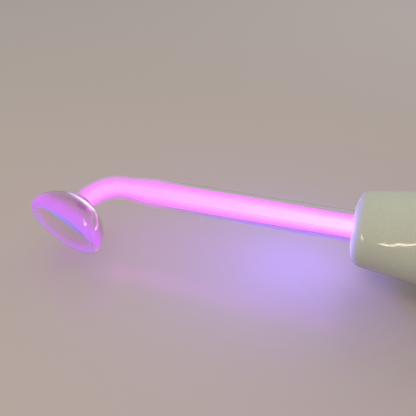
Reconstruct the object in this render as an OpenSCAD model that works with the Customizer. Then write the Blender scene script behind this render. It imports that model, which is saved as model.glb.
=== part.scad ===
// Hand-held violet ray machine: a tapered moulded handle with a high-voltage coil and a
// vibrating interrupter inside, and a blown glass electrode with a mushroom head in its nose.
// Millimetres. The handle's axis is X: the electrode points to -X and the knob to +X.
// The origin is on that axis in the middle of the cylindrical grip, and +Z is up as the
// machine lies on a table, on its barrel and on the rim of the electrode's head.

/* [Handle] */
// Diameter of the cylindrical grip
barrel_d = 48; // [46:0.5:54]
// Length of the cylindrical grip
grip_len = 78; // [76:1:100]
// Diameter of the nose cone, carried forward to the plane of the nose's face
nose_d = 27.9; // [27:0.1:30]
// Half angle of the nose cone, in degrees
nose_angle = 6.75; // [6.25:0.25:7.5]
// Length over which the cone rounds into the grip
blend_len = 35; // [28:1:44]
// Rounding of the nose's front edge
nose_edge_r = 5; // [3:0.25:6]
// How far the middle of the nose's face stands proud of its edge
face_crown = 1.2; // [0.5:0.1:2]
// Wall of the moulded shells
wall = 2.5; // [2:0.1:3]
// Length of the rear cap
cap_len = 20; // [19:0.5:26]
// Thickness of the rear cap's end wall
cap_wall = 4; // [3:0.25:5]
// Rounding of the rear cap's edge
cap_edge_r = 4; // [2:0.25:4.25]
// Length of the spigots where the shells plug together
spigot_len = 8; // [6:0.5:9]
// Wall of those spigots
spigot_wall = 2.4; // [2:0.1:2.8]
// Chamfer on each side of the shells' parting lines
seam_chamfer = 0.5; // [0.3:0.1:0.8]

/* [Electrode] */
// Outside diameter of the glass stem
stem_d = 12; // [11:0.1:12.6]
// Straight length of the stem in front of the nose
stem_len = 94.5; // [60:0.5:120]
// Outside diameter of the tube through the bend, where it was drawn down
bend_d = 10; // [9:0.1:11]
// Radius of the bend, at the middle of the tube
bend_r = 15; // [14:0.5:24]
// Angle of the bend, in degrees
bend_angle = 78.5; // [60:0.5:90]
// Diameter of the mushroom head
head_d = 32.7; // [28:0.1:40]
// Depth of the head's dome, from the neck to the widest circle
head_depth = 11.5; // [9:0.1:14]
// Rounding of the head's rim, from the widest circle to the flat face
rim_r = 2.2; // [1.8:0.1:3]
// Wall of the blown glass
glass_wall = 1.2; // [0.8:0.1:1.4]
// Thickness of the glass bead where the neck is sealed to the dome
bead_d = 1.6; // [1:0.1:2]
// Length of the stem's narrow tail under the metal cap
tail_len = 20; // [16:0.5:24]
// Wall of the metal cap
ferrule_wall = 0.7; // [0.5:0.05:0.9]

/* [Socket and coil] */
// Length of the stem's guide bore in the nose
guide_len = 12; // [11:0.5:14]
// Thickness of the soft ring that grips the stem
ring_d = 3; // [2.5:0.1:3.5]
// Wall of the brass contact cup
cup_wall = 0.7; // [0.5:0.05:1]
// Wall of the coil former
former_wall = 1.8; // [1.5:0.1:2.2]
// Number of flat coils in the secondary winding
pie_count = 6; // [4:1:6]
// Width of one flat coil
pie_w = 5.5; // [4:0.25:5.75]
// Space between two flat coils
pie_gap = 2; // [1:0.25:2]
// Radial depth of the flat coils
pie_depth = 4.9; // [4:0.1:5.2]
// Wall of the insulating sleeve round the secondary
sleeve_wall = 0.8; // [0.6:0.1:1]
// Diameter of the primary's wire
primary_wire_d = 1.5; // [1:0.1:1.6]
// Number of turns in the primary
primary_turns = 9; // [5:1:9]
// Distance from one turn of the primary to the next
primary_pitch = 3.2; // [2.6:0.1:3.4]

/* [Interrupter] */
// Diameter of the magnet's iron core
core_d = 8; // [6:0.5:9]
// Outside diameter of the magnet's winding and bobbin flanges
magnet_d = 16; // [14:0.5:17]
// Room between the contact slider's guide and the terminal block
guide_room = 3.1; // [2:0.1:5]
// Thickness of the iron yoke
yoke_t = 2; // [1.5:0.1:2.5]
// Width of the iron yoke
yoke_w = 14; // [10:0.5:16]
// Air gap between the armature and the core
armature_gap = 0.9; // [0.8:0.05:1.2]
// Thickness of the armature
armature_t = 2; // [1.5:0.1:2.5]
// Thickness of the spring reed
reed_t = 0.5; // [0.3:0.05:0.6]
// Width of the spring reed
reed_w = 10; // [8:0.5:11]
// Diameter of the contact points
contact_d = 3.6; // [3:0.1:4.5]
// Height of one contact point
contact_h = 1.2; // [1:0.1:1.5]
// Gap between the contact points with the knob at its off stop
contact_gap = 0.9; // [0.9:0.05:1.2]
// Thickness of the chassis plate
plate_t = 2; // [1.5:0.1:2.5]

/* [Control] */
// Room between the knob and the cord inlet
knob_room = 0.6; // [0.4:0.1:2]
// Height of the knob
knob_h = 14; // [12:0.5:18]
// Number of finger flutes round the knob
flute_count = 12; // [8:1:14]
// Diameter of the knob's shaft
shaft_d = 6; // [5:0.25:6]
// Diameter of the shaft's screwed end
screw_d = 5; // [4:0.25:5]
// Diameter of the cord that the rear inlet takes
cord_d = 6; // [5:0.25:6.5]

/* [Fits] */
// Radial gap of a part that slides or turns in another
run_gap = 0.05; // [0.03:0.01:0.08]
// Radial gap between parts that plug together
plug_gap = 0.1; // [0.05:0.01:0.15]
// Radial gap between the stem and the nose's bore
bore_gap = 0.3; // [0.2:0.05:0.4]
// Gap that keeps moving faces apart
clear_gap = 0.4; // [0.3:0.05:0.5]

/* [Hidden] */
$fn = 96;

// Shells
barrel_r = barrel_d / 2;
inner_r = barrel_r - wall;
spigot_r = inner_r - plug_gap;
spigot_ri = spigot_r - spigot_wall;
nose_slope = tan(nose_angle);
blend_rise = blend_len * tan(nose_angle / 2);
blend_r = blend_len / sin(nose_angle);
cone_len = (barrel_r - blend_rise - nose_d / 2) / nose_slope;
nose_len = cone_len + blend_len;
grip_x1 = -grip_len / 2;
grip_x2 = grip_len / 2;
nose_x = grip_x1 - nose_len;
cap_x = grip_x2 + cap_len;
cap_wall_x = cap_x - cap_wall;
nose_front_wall = 1.5 * wall;
edge_steps = 6;

// Electrode, in stations from the nose's face: behind it is positive
stem_r = stem_d / 2;
bore_r = stem_r + bore_gap;
ferrule_r = stem_r - plug_gap;
cement_gap = 0.02;
cement_t = 0.4;
cement_ro = ferrule_r - ferrule_wall - cement_gap;
tail_r = cement_ro - cement_t - run_gap;
shoulder_s = guide_len + 0.3;
ferrule_s = shoulder_s + 0.2;
tail_s = shoulder_s + tail_len;
tip_len = 2.5;
tip_r = 1.3;
shoulder_len = 1.2;
ferrule_end_t = 1;
ferrule_end_s = tail_s + tip_len + 1 + ferrule_end_t;
bend_ro = bend_d / 2;
draw_len = 16;
head_r = head_d / 2;
neck_r = bend_ro + 0.6;
// The bend's end laps into the head by this many degrees, in a neck that is this much wider inside
seal_lap = 3;
seal_step = 0.4;
dome_axis = head_depth / sqrt(1 - pow(neck_r / head_r, 2));
bend_x = nose_x - stem_len;

// Roll of the bend, from straight down towards -Y, that sets the head's rim on the table:
// rim_off * c + rim_c * sqrt(1 - (sin(bend_angle) * c)^2) + rim_r = barrel_r, solved for c = cos(roll)
rim_off = bend_r * (1 - cos(bend_angle)) + head_depth * sin(bend_angle);
rim_c = head_r - rim_r;
rest_drop = barrel_r - rim_r;
roll_a = pow(rim_off, 2) + pow(rim_c * sin(bend_angle), 2);
roll_b = rest_drop * rim_off;
roll_c = pow(rest_drop, 2) - pow(rim_c, 2);
rest_roll = acos((roll_b - sqrt(pow(roll_b, 2) - roll_a * roll_c)) / roll_a);

// Socket and coil
boss_wall = 3;
boss_r = bore_r + boss_wall;
ring_r = bore_r + 1.4;
ring_s = 5;
cup_ri = ferrule_r + plug_gap;
cup_ro = cup_ri + cup_wall;
cup_s = ferrule_s + 1.5;
cup_end_t = 1.5;
cup_end_s = ferrule_end_s + clear_gap + cup_end_t;
former_ri = cup_ro + run_gap;
former_ro = former_ri + former_wall;
former_x = nose_x + guide_len + 0.2;
bulkhead_t = 4;
bulkhead_x = grip_x1 + 2;
bulkhead_seat = 2;
pie_ri = former_ro + run_gap;
pie_ro = pie_ri + pie_depth;
pies_len = pie_count * pie_w + (pie_count - 1) * pie_gap;
pies_room = 3;
pies_x = bulkhead_x - pies_room - pies_len;
sleeve_ri = pie_ro + plug_gap;
sleeve_ro = sleeve_ri + sleeve_wall;
sleeve_over = 1.5;
helix_rings = 24;
helix_sides = 6;
primary_r = (sleeve_ro + run_gap + primary_wire_d / 2) / cos(180 / helix_rings);
primary_x = bulkhead_x - 5 - primary_turns * primary_pitch;

// Interrupter, on the handle's axis above the chassis plate
core_r = core_d / 2;
magnet_r = magnet_d / 2;
plate_z = -magnet_r - yoke_t;
plate_x1 = grip_x1 + spigot_len + 0.5;
plate_inset = 3.5;
plate_x2 = grip_x2 - plate_inset;
plate_hw = sqrt(pow(inner_r, 2) - pow(plate_z - plate_t, 2)) - 0.3;
rail_t = 1.6;
rail_w = 2;
yoke_x = plate_x1 + 1;
yoke_front_t = 3;
bobbin_x = yoke_x + yoke_front_t;
bobbin_flange = 1.2;
bobbin_wall = 0.8;
block_len = 9;
block_x = plate_x2 - 1.5 - block_len;
pole_out = 1;
slide_room = 0.7;
guide_len_x = 12;
bobbin_len = block_x - guide_room - guide_len_x - slide_room - contact_gap - 2 * contact_h
    - reed_t - armature_t - armature_gap - pole_out - bobbin_x;
pole_x = bobbin_x + bobbin_len + pole_out;
armature_x = pole_x + armature_gap;
reed_x = armature_x + armature_t;
reed_back_x = reed_x + reed_t;
reed_fix_h = 2.8;
pivot_z = plate_z + reed_fix_h;
armature_hw = 6;
armature_z = pivot_z + 1.7;
contact_x = reed_back_x + contact_h;
contact_r = contact_d / 2;
shank_r = contact_r * 0.55;
point_x = contact_x + contact_gap;
slider_x = point_x + contact_h;
slider_len = 9;
slider_hw = 4;
post_t = 3.5;
guide_t = 1.5;
guide_x = slider_x + slide_room;
guide_foot = 6;
screw_r = screw_d / 2;
shaft_r = shaft_d / 2;
screw_in = 3.6;
screw_x = slider_x + screw_in;
screw_runout = 4;
screw_end_x = guide_x + guide_len_x + screw_runout;
clip_t = 0.8;
clip_w = 10;
clip_ear = 5;
clip_room = 0.75;
ear_room = 1.7;
condenser_w = 2 * (plate_hw - rail_w - ear_room - clip_ear - clip_t);
condenser_inset = 10;
condenser_h = sqrt(pow(inner_r, 2) - pow(condenser_w / 2 + run_gap + clip_t, 2))
    - clip_room - clip_t - run_gap + plate_z - plate_t;
condenser_len = plate_x2 - plate_x1 - 2.6 * condenser_inset;
condenser_x = plate_x1 + condenser_inset;
clip_x = condenser_x + (condenser_len - clip_w) / 2;
block_w = 16;
block_h = -plate_z - shaft_r - 1;
block_pole_y = 4.5;
small_screw_r = 1.2;

// Control
shaft_in = 3.2;
bush_wall = 1.6;
bush_r = shaft_r + bush_wall;
bush_flange_r = bush_r + 1.5;
bush_flange_t = 1.2;
bush_reach = 5;
bush_x = cap_wall_x - bush_reach;
nut_t = 3;
knob_x = cap_x + bush_flange_t + clear_gap;
set_screw_r = 1.5;
set_screw_in = 4;
set_screw_x = knob_x + set_screw_in;
clip_groove = 0.5;
clip_len = 1;
grommet_ri = cord_d / 2 + 0.3;
grommet_ro = grommet_ri + 0.9;
grommet_flange_r = grommet_ro + 0.5;
grommet_flange_t = 2;
grommet_z = spigot_ri - plug_gap - grommet_flange_r;
knob_r = grommet_z - grommet_flange_r - knob_room;
nut_wall = 1.3;
nut_af = 2 * (bush_r + nut_wall);
set_screw_len = knob_r - shaft_r - 1.3;
flute_r = knob_r / 4;
cap_screw_x = grip_x2 + spigot_len / 2 + 0.5;
cap_screw_angles = [90, 210, 330];
cap_screw_r = 1.45;
cap_screw_head_r = 2.7;
cap_screw_in = 0.15;

// Turns an outline of [station along X, radius] points round the X axis
module turned(outline) {
    rotate([0, 90, 0])
        rotate_extrude()
            polygon([for (p = outline) [p[1], p[0]]]);
}

// A rod along X, from x1 to x2
module rod(x1, x2, r) {
    translate([x1, 0, 0])
        rotate([0, 90, 0])
            cylinder(h = x2 - x1, r = r);
}

// A block between two corners
module block(low, high) {
    translate(low)
        cube(high - low);
}

// Outside radius of the nose cone at a station behind its face
function cone_r(s) = nose_d / 2 + s * nose_slope;

// Crowned face, front edge and flank of the nose, from the stem's bore to the parting line
function nose_outside() = let (
        edge_c = cone_r(nose_edge_r) - nose_edge_r / cos(nose_angle),
        crown_a = 2 * atan(face_crown / edge_c),
        face_r = edge_c / sin(crown_a) + nose_edge_r,
        bore_a = asin(bore_r / face_r)
    ) concat(
        [for (i = [0:edge_steps - 1])
            let (a = bore_a + i * (crown_a - bore_a) / edge_steps)
            [face_r * (1 - cos(a)) - face_crown, face_r * sin(a)]],
        [for (i = [0:edge_steps])
            let (a = crown_a + i * (90 - nose_angle - crown_a) / edge_steps)
            [nose_edge_r * (1 - cos(a)), edge_c + nose_edge_r * sin(a)]],
        [for (i = [0:edge_steps])
            let (a = nose_angle * (1 - i / edge_steps))
            if (i < edge_steps) [nose_len - blend_r * sin(a), barrel_r - blend_r * (1 - cos(a))]],
        [[nose_len - seam_chamfer, barrel_r], [nose_len, barrel_r - seam_chamfer]]);

// Front moulding: flared nose with the stem's guide bore and a spigot into the grip
module nose_shell() {
    core_s = nose_front_wall;
    color("#c2c6b2")
        translate([nose_x, 0, 0])
            turned(concat(
                nose_outside(),
                [[nose_len, spigot_r],
                 [nose_len + spigot_len, spigot_r],
                 [nose_len + spigot_len, spigot_ri],
                 [nose_len - 1, spigot_ri],
                 [nose_len - 1 - spigot_wall, inner_r - plug_gap],
                 [cone_len, cone_r(cone_len) - wall],
                 [core_s, cone_r(core_s) - wall],
                 [core_s, boss_r],
                 [guide_len, boss_r],
                 [guide_len, bore_r],
                 [ring_s + ring_d + 2 * run_gap, bore_r],
                 [ring_s + ring_d + 2 * run_gap, ring_r + run_gap],
                 [ring_s, ring_r + run_gap],
                 [ring_s, bore_r]]));
}

// Grip: a tube with two pairs of rails for the chassis plate and a spigot into the rear cap
module grip_shell() {
    step_x = grip_x2 - 3;
    color("#c2c6b2")
        difference() {
            union() {
                turned([[grip_x1, inner_r],
                        [grip_x1, barrel_r - seam_chamfer],
                        [grip_x1 + seam_chamfer, barrel_r],
                        [grip_x2 - seam_chamfer, barrel_r],
                        [grip_x2, barrel_r - seam_chamfer],
                        [grip_x2, spigot_r],
                        [grip_x2 + spigot_len, spigot_r],
                        [grip_x2 + spigot_len, spigot_ri],
                        [grip_x2 - 1, spigot_ri],
                        [step_x, inner_r]]);
                intersection() {
                    rod(plate_x1, plate_x2, inner_r + wall / 2);
                    for (side = [-1, 1], z = [plate_z, plate_z - plate_t - rail_t])
                        translate([plate_x1, side > 0 ? plate_hw - rail_w : -barrel_r, z])
                            cube([plate_x2 - plate_x1, barrel_r - plate_hw + rail_w, rail_t]);
                }
            }
            cap_screw_places()
                cylinder(h = barrel_r, r = cap_screw_r + run_gap);
        }
}

// Places its child at each rear cap screw, with Z pointing out of the barrel
module cap_screw_places() {
    for (a = cap_screw_angles)
        translate([cap_screw_x, 0, 0])
            rotate([a - 90, 0, 0])
                children();
}

// Countersunk head and shank of a rear cap screw, drawn along Z from the axis
module cap_screw_form(grow) {
    top = barrel_r - cap_screw_in;
    neck = top - cap_screw_head_r + cap_screw_r;
    translate([0, 0, spigot_ri + 0.3])
        cylinder(h = neck - spigot_ri, r = cap_screw_r + grow);
    translate([0, 0, neck])
        cylinder(h = top - neck + grow, r1 = cap_screw_r + grow, r2 = cap_screw_head_r + grow);
}

// Rear cap: a cup over the grip's spigot, with the shaft's hole and the cord inlet in its end
module end_cap() {
    skirt_x = grip_x2 + spigot_len + 0.2;
    color("#c2c6b2")
        difference() {
            turned(concat(
                [[grip_x2, spigot_r + plug_gap],
                 [grip_x2, barrel_r - seam_chamfer],
                 [grip_x2 + seam_chamfer, barrel_r]],
                [for (i = [0:edge_steps])
                    let (a = i * 90 / edge_steps)
                    [cap_x - cap_edge_r * (1 - sin(a)), barrel_r - cap_edge_r * (1 - cos(a))]],
                [[cap_x, 0],
                 [cap_wall_x, 0],
                 [cap_wall_x, spigot_ri],
                 [skirt_x, spigot_ri],
                 [skirt_x, spigot_r + plug_gap]]));
            rod(bush_x, cap_x + 1, bush_r + plug_gap);
            translate([0, 0, grommet_z])
                rod(bush_x, cap_x + 1, grommet_ro + run_gap);
            cap_screw_places() {
                cap_screw_form(run_gap);
                translate([0, 0, barrel_r - cap_screw_in])
                    cylinder(h = 1, r = cap_screw_head_r + run_gap);
            }
        }
}

// Three slotted countersunk screws that hold the rear cap to the grip's spigot
module end_cap_screws() {
    color("#b9b4a6")
        cap_screw_places()
            difference() {
                cap_screw_form(0);
                translate([-cap_screw_head_r, -0.35, barrel_r - cap_screw_in - 0.8])
                    cube([2 * cap_screw_head_r, 0.7, 2]);
            }
}

// Soft inlet grommet for the cord, gripping both faces of the rear cap's end wall
module cord_grommet() {
    mouth = 0.8;
    color("#2b2a28")
        translate([0, 0, grommet_z])
            turned([[cap_wall_x - grommet_flange_t, grommet_ri],
                    [cap_x + grommet_flange_t, grommet_ri],
                    [cap_x + grommet_flange_t, grommet_flange_r - mouth],
                    [cap_x + grommet_flange_t - mouth, grommet_flange_r],
                    [cap_x, grommet_flange_r],
                    [cap_x, grommet_ro],
                    [cap_wall_x, grommet_ro],
                    [cap_wall_x, grommet_flange_r],
                    [cap_wall_x - grommet_flange_t, grommet_flange_r]]);
}

// Flanged brass bush that carries the knob's shaft
module shaft_bush() {
    color("#b08d4f")
        turned([[bush_x, shaft_r + run_gap],
                [bush_x, bush_r],
                [cap_x, bush_r],
                [cap_x, bush_flange_r],
                [cap_x + bush_flange_t, bush_flange_r],
                [cap_x + bush_flange_t, shaft_r + run_gap]]);
}

// Hexagon nut that holds the bush from inside
module bush_nut() {
    color("#b08d4f")
        translate([cap_wall_x - nut_t, 0, 0])
            rotate([0, 90, 0])
                difference() {
                    cylinder(h = nut_t, r = nut_af / 2 / cos(30), $fn = 6);
                    translate([0, 0, -1])
                        cylinder(h = nut_t + 2, r = bush_r + run_gap);
                }
}

// Soft ring in the nose's groove, round the stem
module stem_grip_ring() {
    s1 = ring_s + run_gap;
    color("#3a3836")
        translate([nose_x, 0, 0])
            turned([[s1, stem_r + run_gap + 0.3],
                    [s1 + 0.5, stem_r + run_gap],
                    [s1 + ring_d - 0.5, stem_r + run_gap],
                    [s1 + ring_d, stem_r + run_gap + 0.3],
                    [s1 + ring_d, ring_r],
                    [s1, ring_r]]);
}

// Brass cup at the coil's high-voltage end, slit into fingers that hold the electrode's cap
module contact_cup() {
    slit_w = 1;
    slit_len = 14;
    color("#c9a55c")
        translate([nose_x, 0, 0])
            difference() {
                turned([[cup_s, cup_ri],
                        [cup_s, cup_ro],
                        [cup_end_s, cup_ro],
                        [cup_end_s, 0],
                        [cup_end_s - cup_end_t, 0],
                        [cup_end_s - cup_end_t, cup_ri]]);
                for (a = [0, 90])
                    rotate([a, 0, 0])
                        translate([cup_s - 1, -slit_w / 2, -stem_d])
                            cube([slit_len + 1, slit_w, 2 * stem_d]);
            }
}

// Insulating tube that carries the secondary, from the nose's guide to the bulkhead
module coil_former() {
    plug_x = nose_x + cup_end_s + 0.3;
    color("#7a4a2a")
        turned([[former_x, former_ri],
                [former_x, former_ro],
                [bulkhead_x + bulkhead_seat, former_ro],
                [bulkhead_x + bulkhead_seat, former_ri],
                [plug_x + 3, former_ri],
                [plug_x + 3, former_ri - 2],
                [plug_x, former_ri - 2],
                [plug_x, former_ri]]);
}

// Secondary winding: a row of flat coils on the former
module secondary_pies() {
    color("#8f5a34")
        for (i = [0:pie_count - 1])
            let (x = pies_x + i * (pie_w + pie_gap))
                turned([[x, pie_ri],
                        [x + 0.4, pie_ro - 0.6],
                        [x + 1, pie_ro],
                        [x + pie_w - 1, pie_ro],
                        [x + pie_w - 0.4, pie_ro - 0.6],
                        [x + pie_w, pie_ri]]);
}

// Varnished sleeve between the two windings
module coil_sleeve() {
    color("#b88a4a")
        turned([[pies_x - sleeve_over, sleeve_ri],
                [pies_x - sleeve_over, sleeve_ro],
                [pies_x + pies_len + sleeve_over, sleeve_ro],
                [pies_x + pies_len + sleeve_over, sleeve_ri]]);
}

// Primary winding: one unbroken helix of heavy wire over the sleeve
helix_steps = primary_turns * helix_rings;
function helix_at(i) = let (a = i * 360 / helix_rings)
    [primary_x + i * primary_pitch / helix_rings, primary_r * cos(a), primary_r * sin(a)];
function helix_ring(i) = let (
        a = i * 360 / helix_rings,
        lean = atan(primary_pitch / (2 * PI * primary_r)),
        out = [0, cos(a), sin(a)],
        up = [cos(lean), sin(lean) * sin(a), -sin(lean) * cos(a)]
    )
    [for (k = [0:helix_sides - 1])
        let (b = k * 360 / helix_sides)
        helix_at(i) + primary_wire_d / 2 * (cos(b) * out + sin(b) * up)];
helix_gap = min([for (i = [helix_rings:helix_steps])
    norm(helix_at(i) - helix_at(i - helix_rings))]) - primary_wire_d;
echo(str("least gap between turns of the primary: ", helix_gap, " mm"));

module primary_winding() {
    last = helix_steps * helix_sides;
    points = [for (i = [0:helix_steps], p = helix_ring(i)) p];
    walls = [for (i = [0:helix_steps - 1], k = [0:helix_sides - 1], half = [0, 1])
        let (
            a = i * helix_sides + k,
            b = i * helix_sides + (k + 1) % helix_sides
        )
        half == 0 ? [a, b, b + helix_sides] : [a, b + helix_sides, a + helix_sides]];
    caps = [for (k = [1:helix_sides - 2], end = [0, 1])
        end == 0 ? [0, k + 1, k] : [last, last + k, last + k + 1]];
    color("#b5612f")
        polyhedron(points, concat(walls, caps));
}

// Insulating disc that closes the nose and carries the former's end
module coil_bulkhead() {
    lead_r = 1.2;
    lead_out = 4;
    color("#4a3326")
        difference() {
            rod(bulkhead_x, bulkhead_x + bulkhead_t, spigot_ri - plug_gap);
            rod(bulkhead_x - 1, bulkhead_x + bulkhead_seat, former_ro + run_gap);
            for (side = [-1, 1])
                translate([0, side * (former_ro + lead_out), 0])
                    rod(bulkhead_x - 1, bulkhead_x + bulkhead_t + 1, lead_r);
        }
}

guide_screw_x = guide_x + guide_len_x - 2.5;
guide_foot_w = slider_hw + run_gap * 4 + guide_t + guide_foot;

// Screws through the plate: the guide's two feet above it and the condenser clip's two ears below
module chassis_screw_places() {
    for (side = [-1, 1]) {
        translate([guide_screw_x, side * (guide_foot_w - 2.6), plate_z + guide_t])
            children();
        translate([clip_x + clip_w / 2, side * (condenser_w / 2 + clip_t + 2.6),
                   plate_z - plate_t - clip_t])
            mirror([0, 0, 1])
                children();
    }
}

// Fibre chassis plate in the grip's rails
module chassis_plate() {
    color("#6b4a35")
        difference() {
            block([plate_x1, -plate_hw, plate_z - plate_t], [plate_x2, plate_hw, plate_z]);
            chassis_screw_places()
                translate([0, 0, -2 * plate_t])
                    cylinder(h = 4 * plate_t, r = small_screw_r + run_gap);
        }
}

// Round-headed screws of the guide bracket and the condenser clip
module chassis_screws() {
    head_r = 2.2;
    head_h = 1.3;
    color("#b9b4a6")
        chassis_screw_places()
            difference() {
                union() {
                    cylinder(h = head_h, r1 = head_r, r2 = head_r - 0.5);
                    translate([0, 0, -plate_t - 0.3])
                        cylinder(h = plate_t + 0.3, r = small_screw_r);
                }
                translate([-head_r, -0.3, head_h - 0.6])
                    cube([2 * head_r, 0.6, 1]);
            }
}

// Iron yoke: a foot on the plate and a front plate that holds the core
module magnet_yoke() {
    color("#6f7377")
        difference() {
            union() {
                block([yoke_x, -yoke_w / 2, plate_z],
                      [bobbin_x + bobbin_len - 3, yoke_w / 2, plate_z + yoke_t - run_gap]);
                block([yoke_x, -yoke_w / 2, plate_z], [bobbin_x, yoke_w / 2, magnet_r]);
            }
            rod(yoke_x - 1, bobbin_x + 1, core_r * 0.6 + run_gap);
        }
}

// Iron core, riveted into the yoke's front plate
module magnet_core() {
    color("#8a8d90")
        union() {
            rod(yoke_x, bobbin_x, core_r * 0.6);
            rod(bobbin_x, pole_x, core_r);
        }
}

// Bobbin of the magnet
module magnet_bobbin() {
    flange = bobbin_flange;
    hub_r = core_r + run_gap + bobbin_wall;
    color("#3b2d24")
        turned([[bobbin_x, core_r + run_gap],
                [bobbin_x, magnet_r],
                [bobbin_x + flange, magnet_r],
                [bobbin_x + flange, hub_r],
                [bobbin_x + bobbin_len - flange, hub_r],
                [bobbin_x + bobbin_len - flange, magnet_r],
                [bobbin_x + bobbin_len, magnet_r],
                [bobbin_x + bobbin_len, core_r + run_gap]]);
}

// Winding of the magnet, a wrapped sleeve of fine wire
module magnet_winding() {
    flange = bobbin_flange + run_gap;
    hub_r = core_r + 2 * run_gap + bobbin_wall;
    color("#7c3f22")
        turned([[bobbin_x + flange, hub_r],
                [bobbin_x + flange, magnet_r - 0.6],
                [bobbin_x + bobbin_len - flange, magnet_r - 0.6],
                [bobbin_x + bobbin_len - flange, hub_r]]);
}

// Post behind the reed's foot
module reed_post() {
    color("#6f7377")
        block([reed_back_x, -reed_w / 2 - 1, plate_z],
              [reed_back_x + post_t, reed_w / 2 + 1, pivot_z]);
}

// Clamp strip in front of the reed's foot
module reed_clamp() {
    color("#6f7377")
        block([reed_x - 1.4, -reed_w / 2 - 1, plate_z], [reed_x, reed_w / 2 + 1, pivot_z]);
}

// Spring reed, from its clamped foot to above the contact
module armature_reed() {
    color("#9fa6ad")
        difference() {
            block([reed_x, -reed_w / 2, plate_z + 0.1], [reed_back_x, reed_w / 2, armature_hw]);
            rod(reed_x - 1, reed_back_x + 1, shank_r + run_gap);
        }
}

// Iron armature on the reed, facing the core
module armature_plate() {
    color("#6f7377")
        difference() {
            block([armature_x, -armature_hw, armature_z], [reed_x, armature_hw, armature_hw]);
            rod(armature_x - 1, reed_x + 1, shank_r + run_gap);
        }
}

// Contact point whose shank rivets the reed to the armature
module moving_contact() {
    color("#d5d3cc")
        union() {
            rod(armature_x, reed_back_x, shank_r);
            rod(reed_back_x, contact_x, contact_r);
        }
}

// Bent bracket whose two walls keep the contact slider from turning
module guide_bracket() {
    gap = slider_hw + run_gap * 4;
    color("#a9a597")
        difference() {
            union()
                for (side = [-1, 1]) {
                    wall_y = side * (gap + guide_t / 2);
                    foot_y = side * (gap + guide_foot_w) / 2;
                    translate([guide_x + guide_len_x / 2, wall_y, (plate_z + slider_hw) / 2])
                        cube([guide_len_x, guide_t, slider_hw - plate_z], center = true);
                    translate([guide_x + guide_len_x / 2, foot_y, plate_z + guide_t / 2])
                        cube([guide_len_x, guide_foot_w - gap, guide_t], center = true);
                }
            chassis_screw_places()
                translate([0, 0, -plate_t])
                    cylinder(h = 2 * plate_t, r = small_screw_r + run_gap);
        }
}

// Square fibre nut on the shaft's screwed end, which carries the fixed contact forward
module contact_slider() {
    color("#6b4a35")
        difference() {
            block([slider_x, -slider_hw, -slider_hw], [slider_x + slider_len, slider_hw, slider_hw]);
            rod(slider_x - 1, slider_x + 2, shank_r + run_gap);
            rod(slider_x + 3, slider_x + slider_len + 1, screw_r + run_gap);
        }
}

// Contact point riveted into the slider
module fixed_contact() {
    color("#d5d3cc")
        union() {
            rod(point_x, slider_x, contact_r);
            rod(slider_x, slider_x + 1.8, shank_r);
        }
}

// Condenser in its tin, under the plate
module condenser() {
    color("#9c9a86")
        block([condenser_x, -condenser_w / 2, plate_z - plate_t - condenser_h],
              [condenser_x + condenser_len, condenser_w / 2, plate_z - plate_t]);
}

// Strap that holds the condenser up against the plate
module condenser_clip() {
    top = plate_z - plate_t;
    low = top - condenser_h - run_gap;
    side_y = condenser_w / 2 + run_gap;
    color("#a9a597")
        difference() {
            union() {
                block([clip_x, -side_y - clip_t, low - clip_t], [clip_x + clip_w, side_y + clip_t, low]);
                for (side = [-1, 1]) {
                    translate([clip_x, side > 0 ? side_y : -side_y - clip_t, low - clip_t])
                        cube([clip_w, clip_t, top - low + clip_t]);
                    translate([clip_x, side > 0 ? side_y : -side_y - clip_t - clip_ear, top - clip_t])
                        cube([clip_w, clip_ear + clip_t, clip_t]);
                }
            }
            chassis_screw_places()
                translate([0, 0, -plate_t])
                    cylinder(h = 2 * plate_t, r = small_screw_r + run_gap);
        }
}

// Two-pole terminal block for the cord's conductors
module terminal_block() {
    entry_r = 1.3;
    color("#e3ddcd")
        difference() {
            block([block_x, -block_w / 2, plate_z], [block_x + block_len, block_w / 2, plate_z + block_h]);
            for (side = [-1, 1]) {
                translate([0, side * block_pole_y, plate_z + block_h * 0.4])
                    rod(block_x - 1, block_x + block_len + 1, entry_r);
                translate([block_x + block_len / 2, side * block_pole_y, plate_z + block_h * 0.4])
                    cylinder(h = block_h, r = small_screw_r + run_gap);
            }
        }
}

// Clamping screws of the terminal block
module terminal_screws() {
    head_r = 1.9;
    head_h = 1.1;
    top = plate_z + block_h;
    color("#b08d4f")
        for (side = [-1, 1])
            translate([block_x + block_len / 2, side * block_pole_y, top])
                difference() {
                    union() {
                        cylinder(h = head_h, r = head_r);
                        translate([0, 0, -block_h * 0.4])
                            cylinder(h = block_h * 0.4, r = small_screw_r);
                    }
                    translate([-head_r, -0.3, head_h - 0.5])
                        cube([2 * head_r, 0.6, 1]);
                }
}

// Fluted control knob
module knob() {
    skirt = 2.5;
    top_r = knob_r - 1;
    round_r = 1.5;
    end_x = knob_x + knob_h;
    color("#3a2a22")
        difference() {
            turned(concat(
                [[knob_x, shaft_r + 0.02],
                 [knob_x, knob_r - 0.4],
                 [knob_x + 0.4, knob_r],
                 [knob_x + skirt, knob_r]],
                [for (i = [0:edge_steps])
                    let (a = i * 90 / edge_steps)
                    [end_x - round_r * (1 - sin(a)), top_r - round_r * (1 - cos(a))]],
                [[end_x, 0],
                 [end_x - 3, 0],
                 [end_x - 3, shaft_r + 0.02]]));
            for (i = [0:flute_count - 1])
                rotate([i * 360 / flute_count, 0, 0])
                    translate([0, 0, knob_r + flute_r * 0.45])
                        rod(knob_x + skirt + 0.6, end_x + 1, flute_r);
            translate([set_screw_x, 0, -knob_r])
                cylinder(h = knob_r, r = set_screw_r + run_gap);
            translate([end_x - 0.5, -0.6, 1.5])
                cube([2, 1.2, knob_r]);
        }
}

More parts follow.
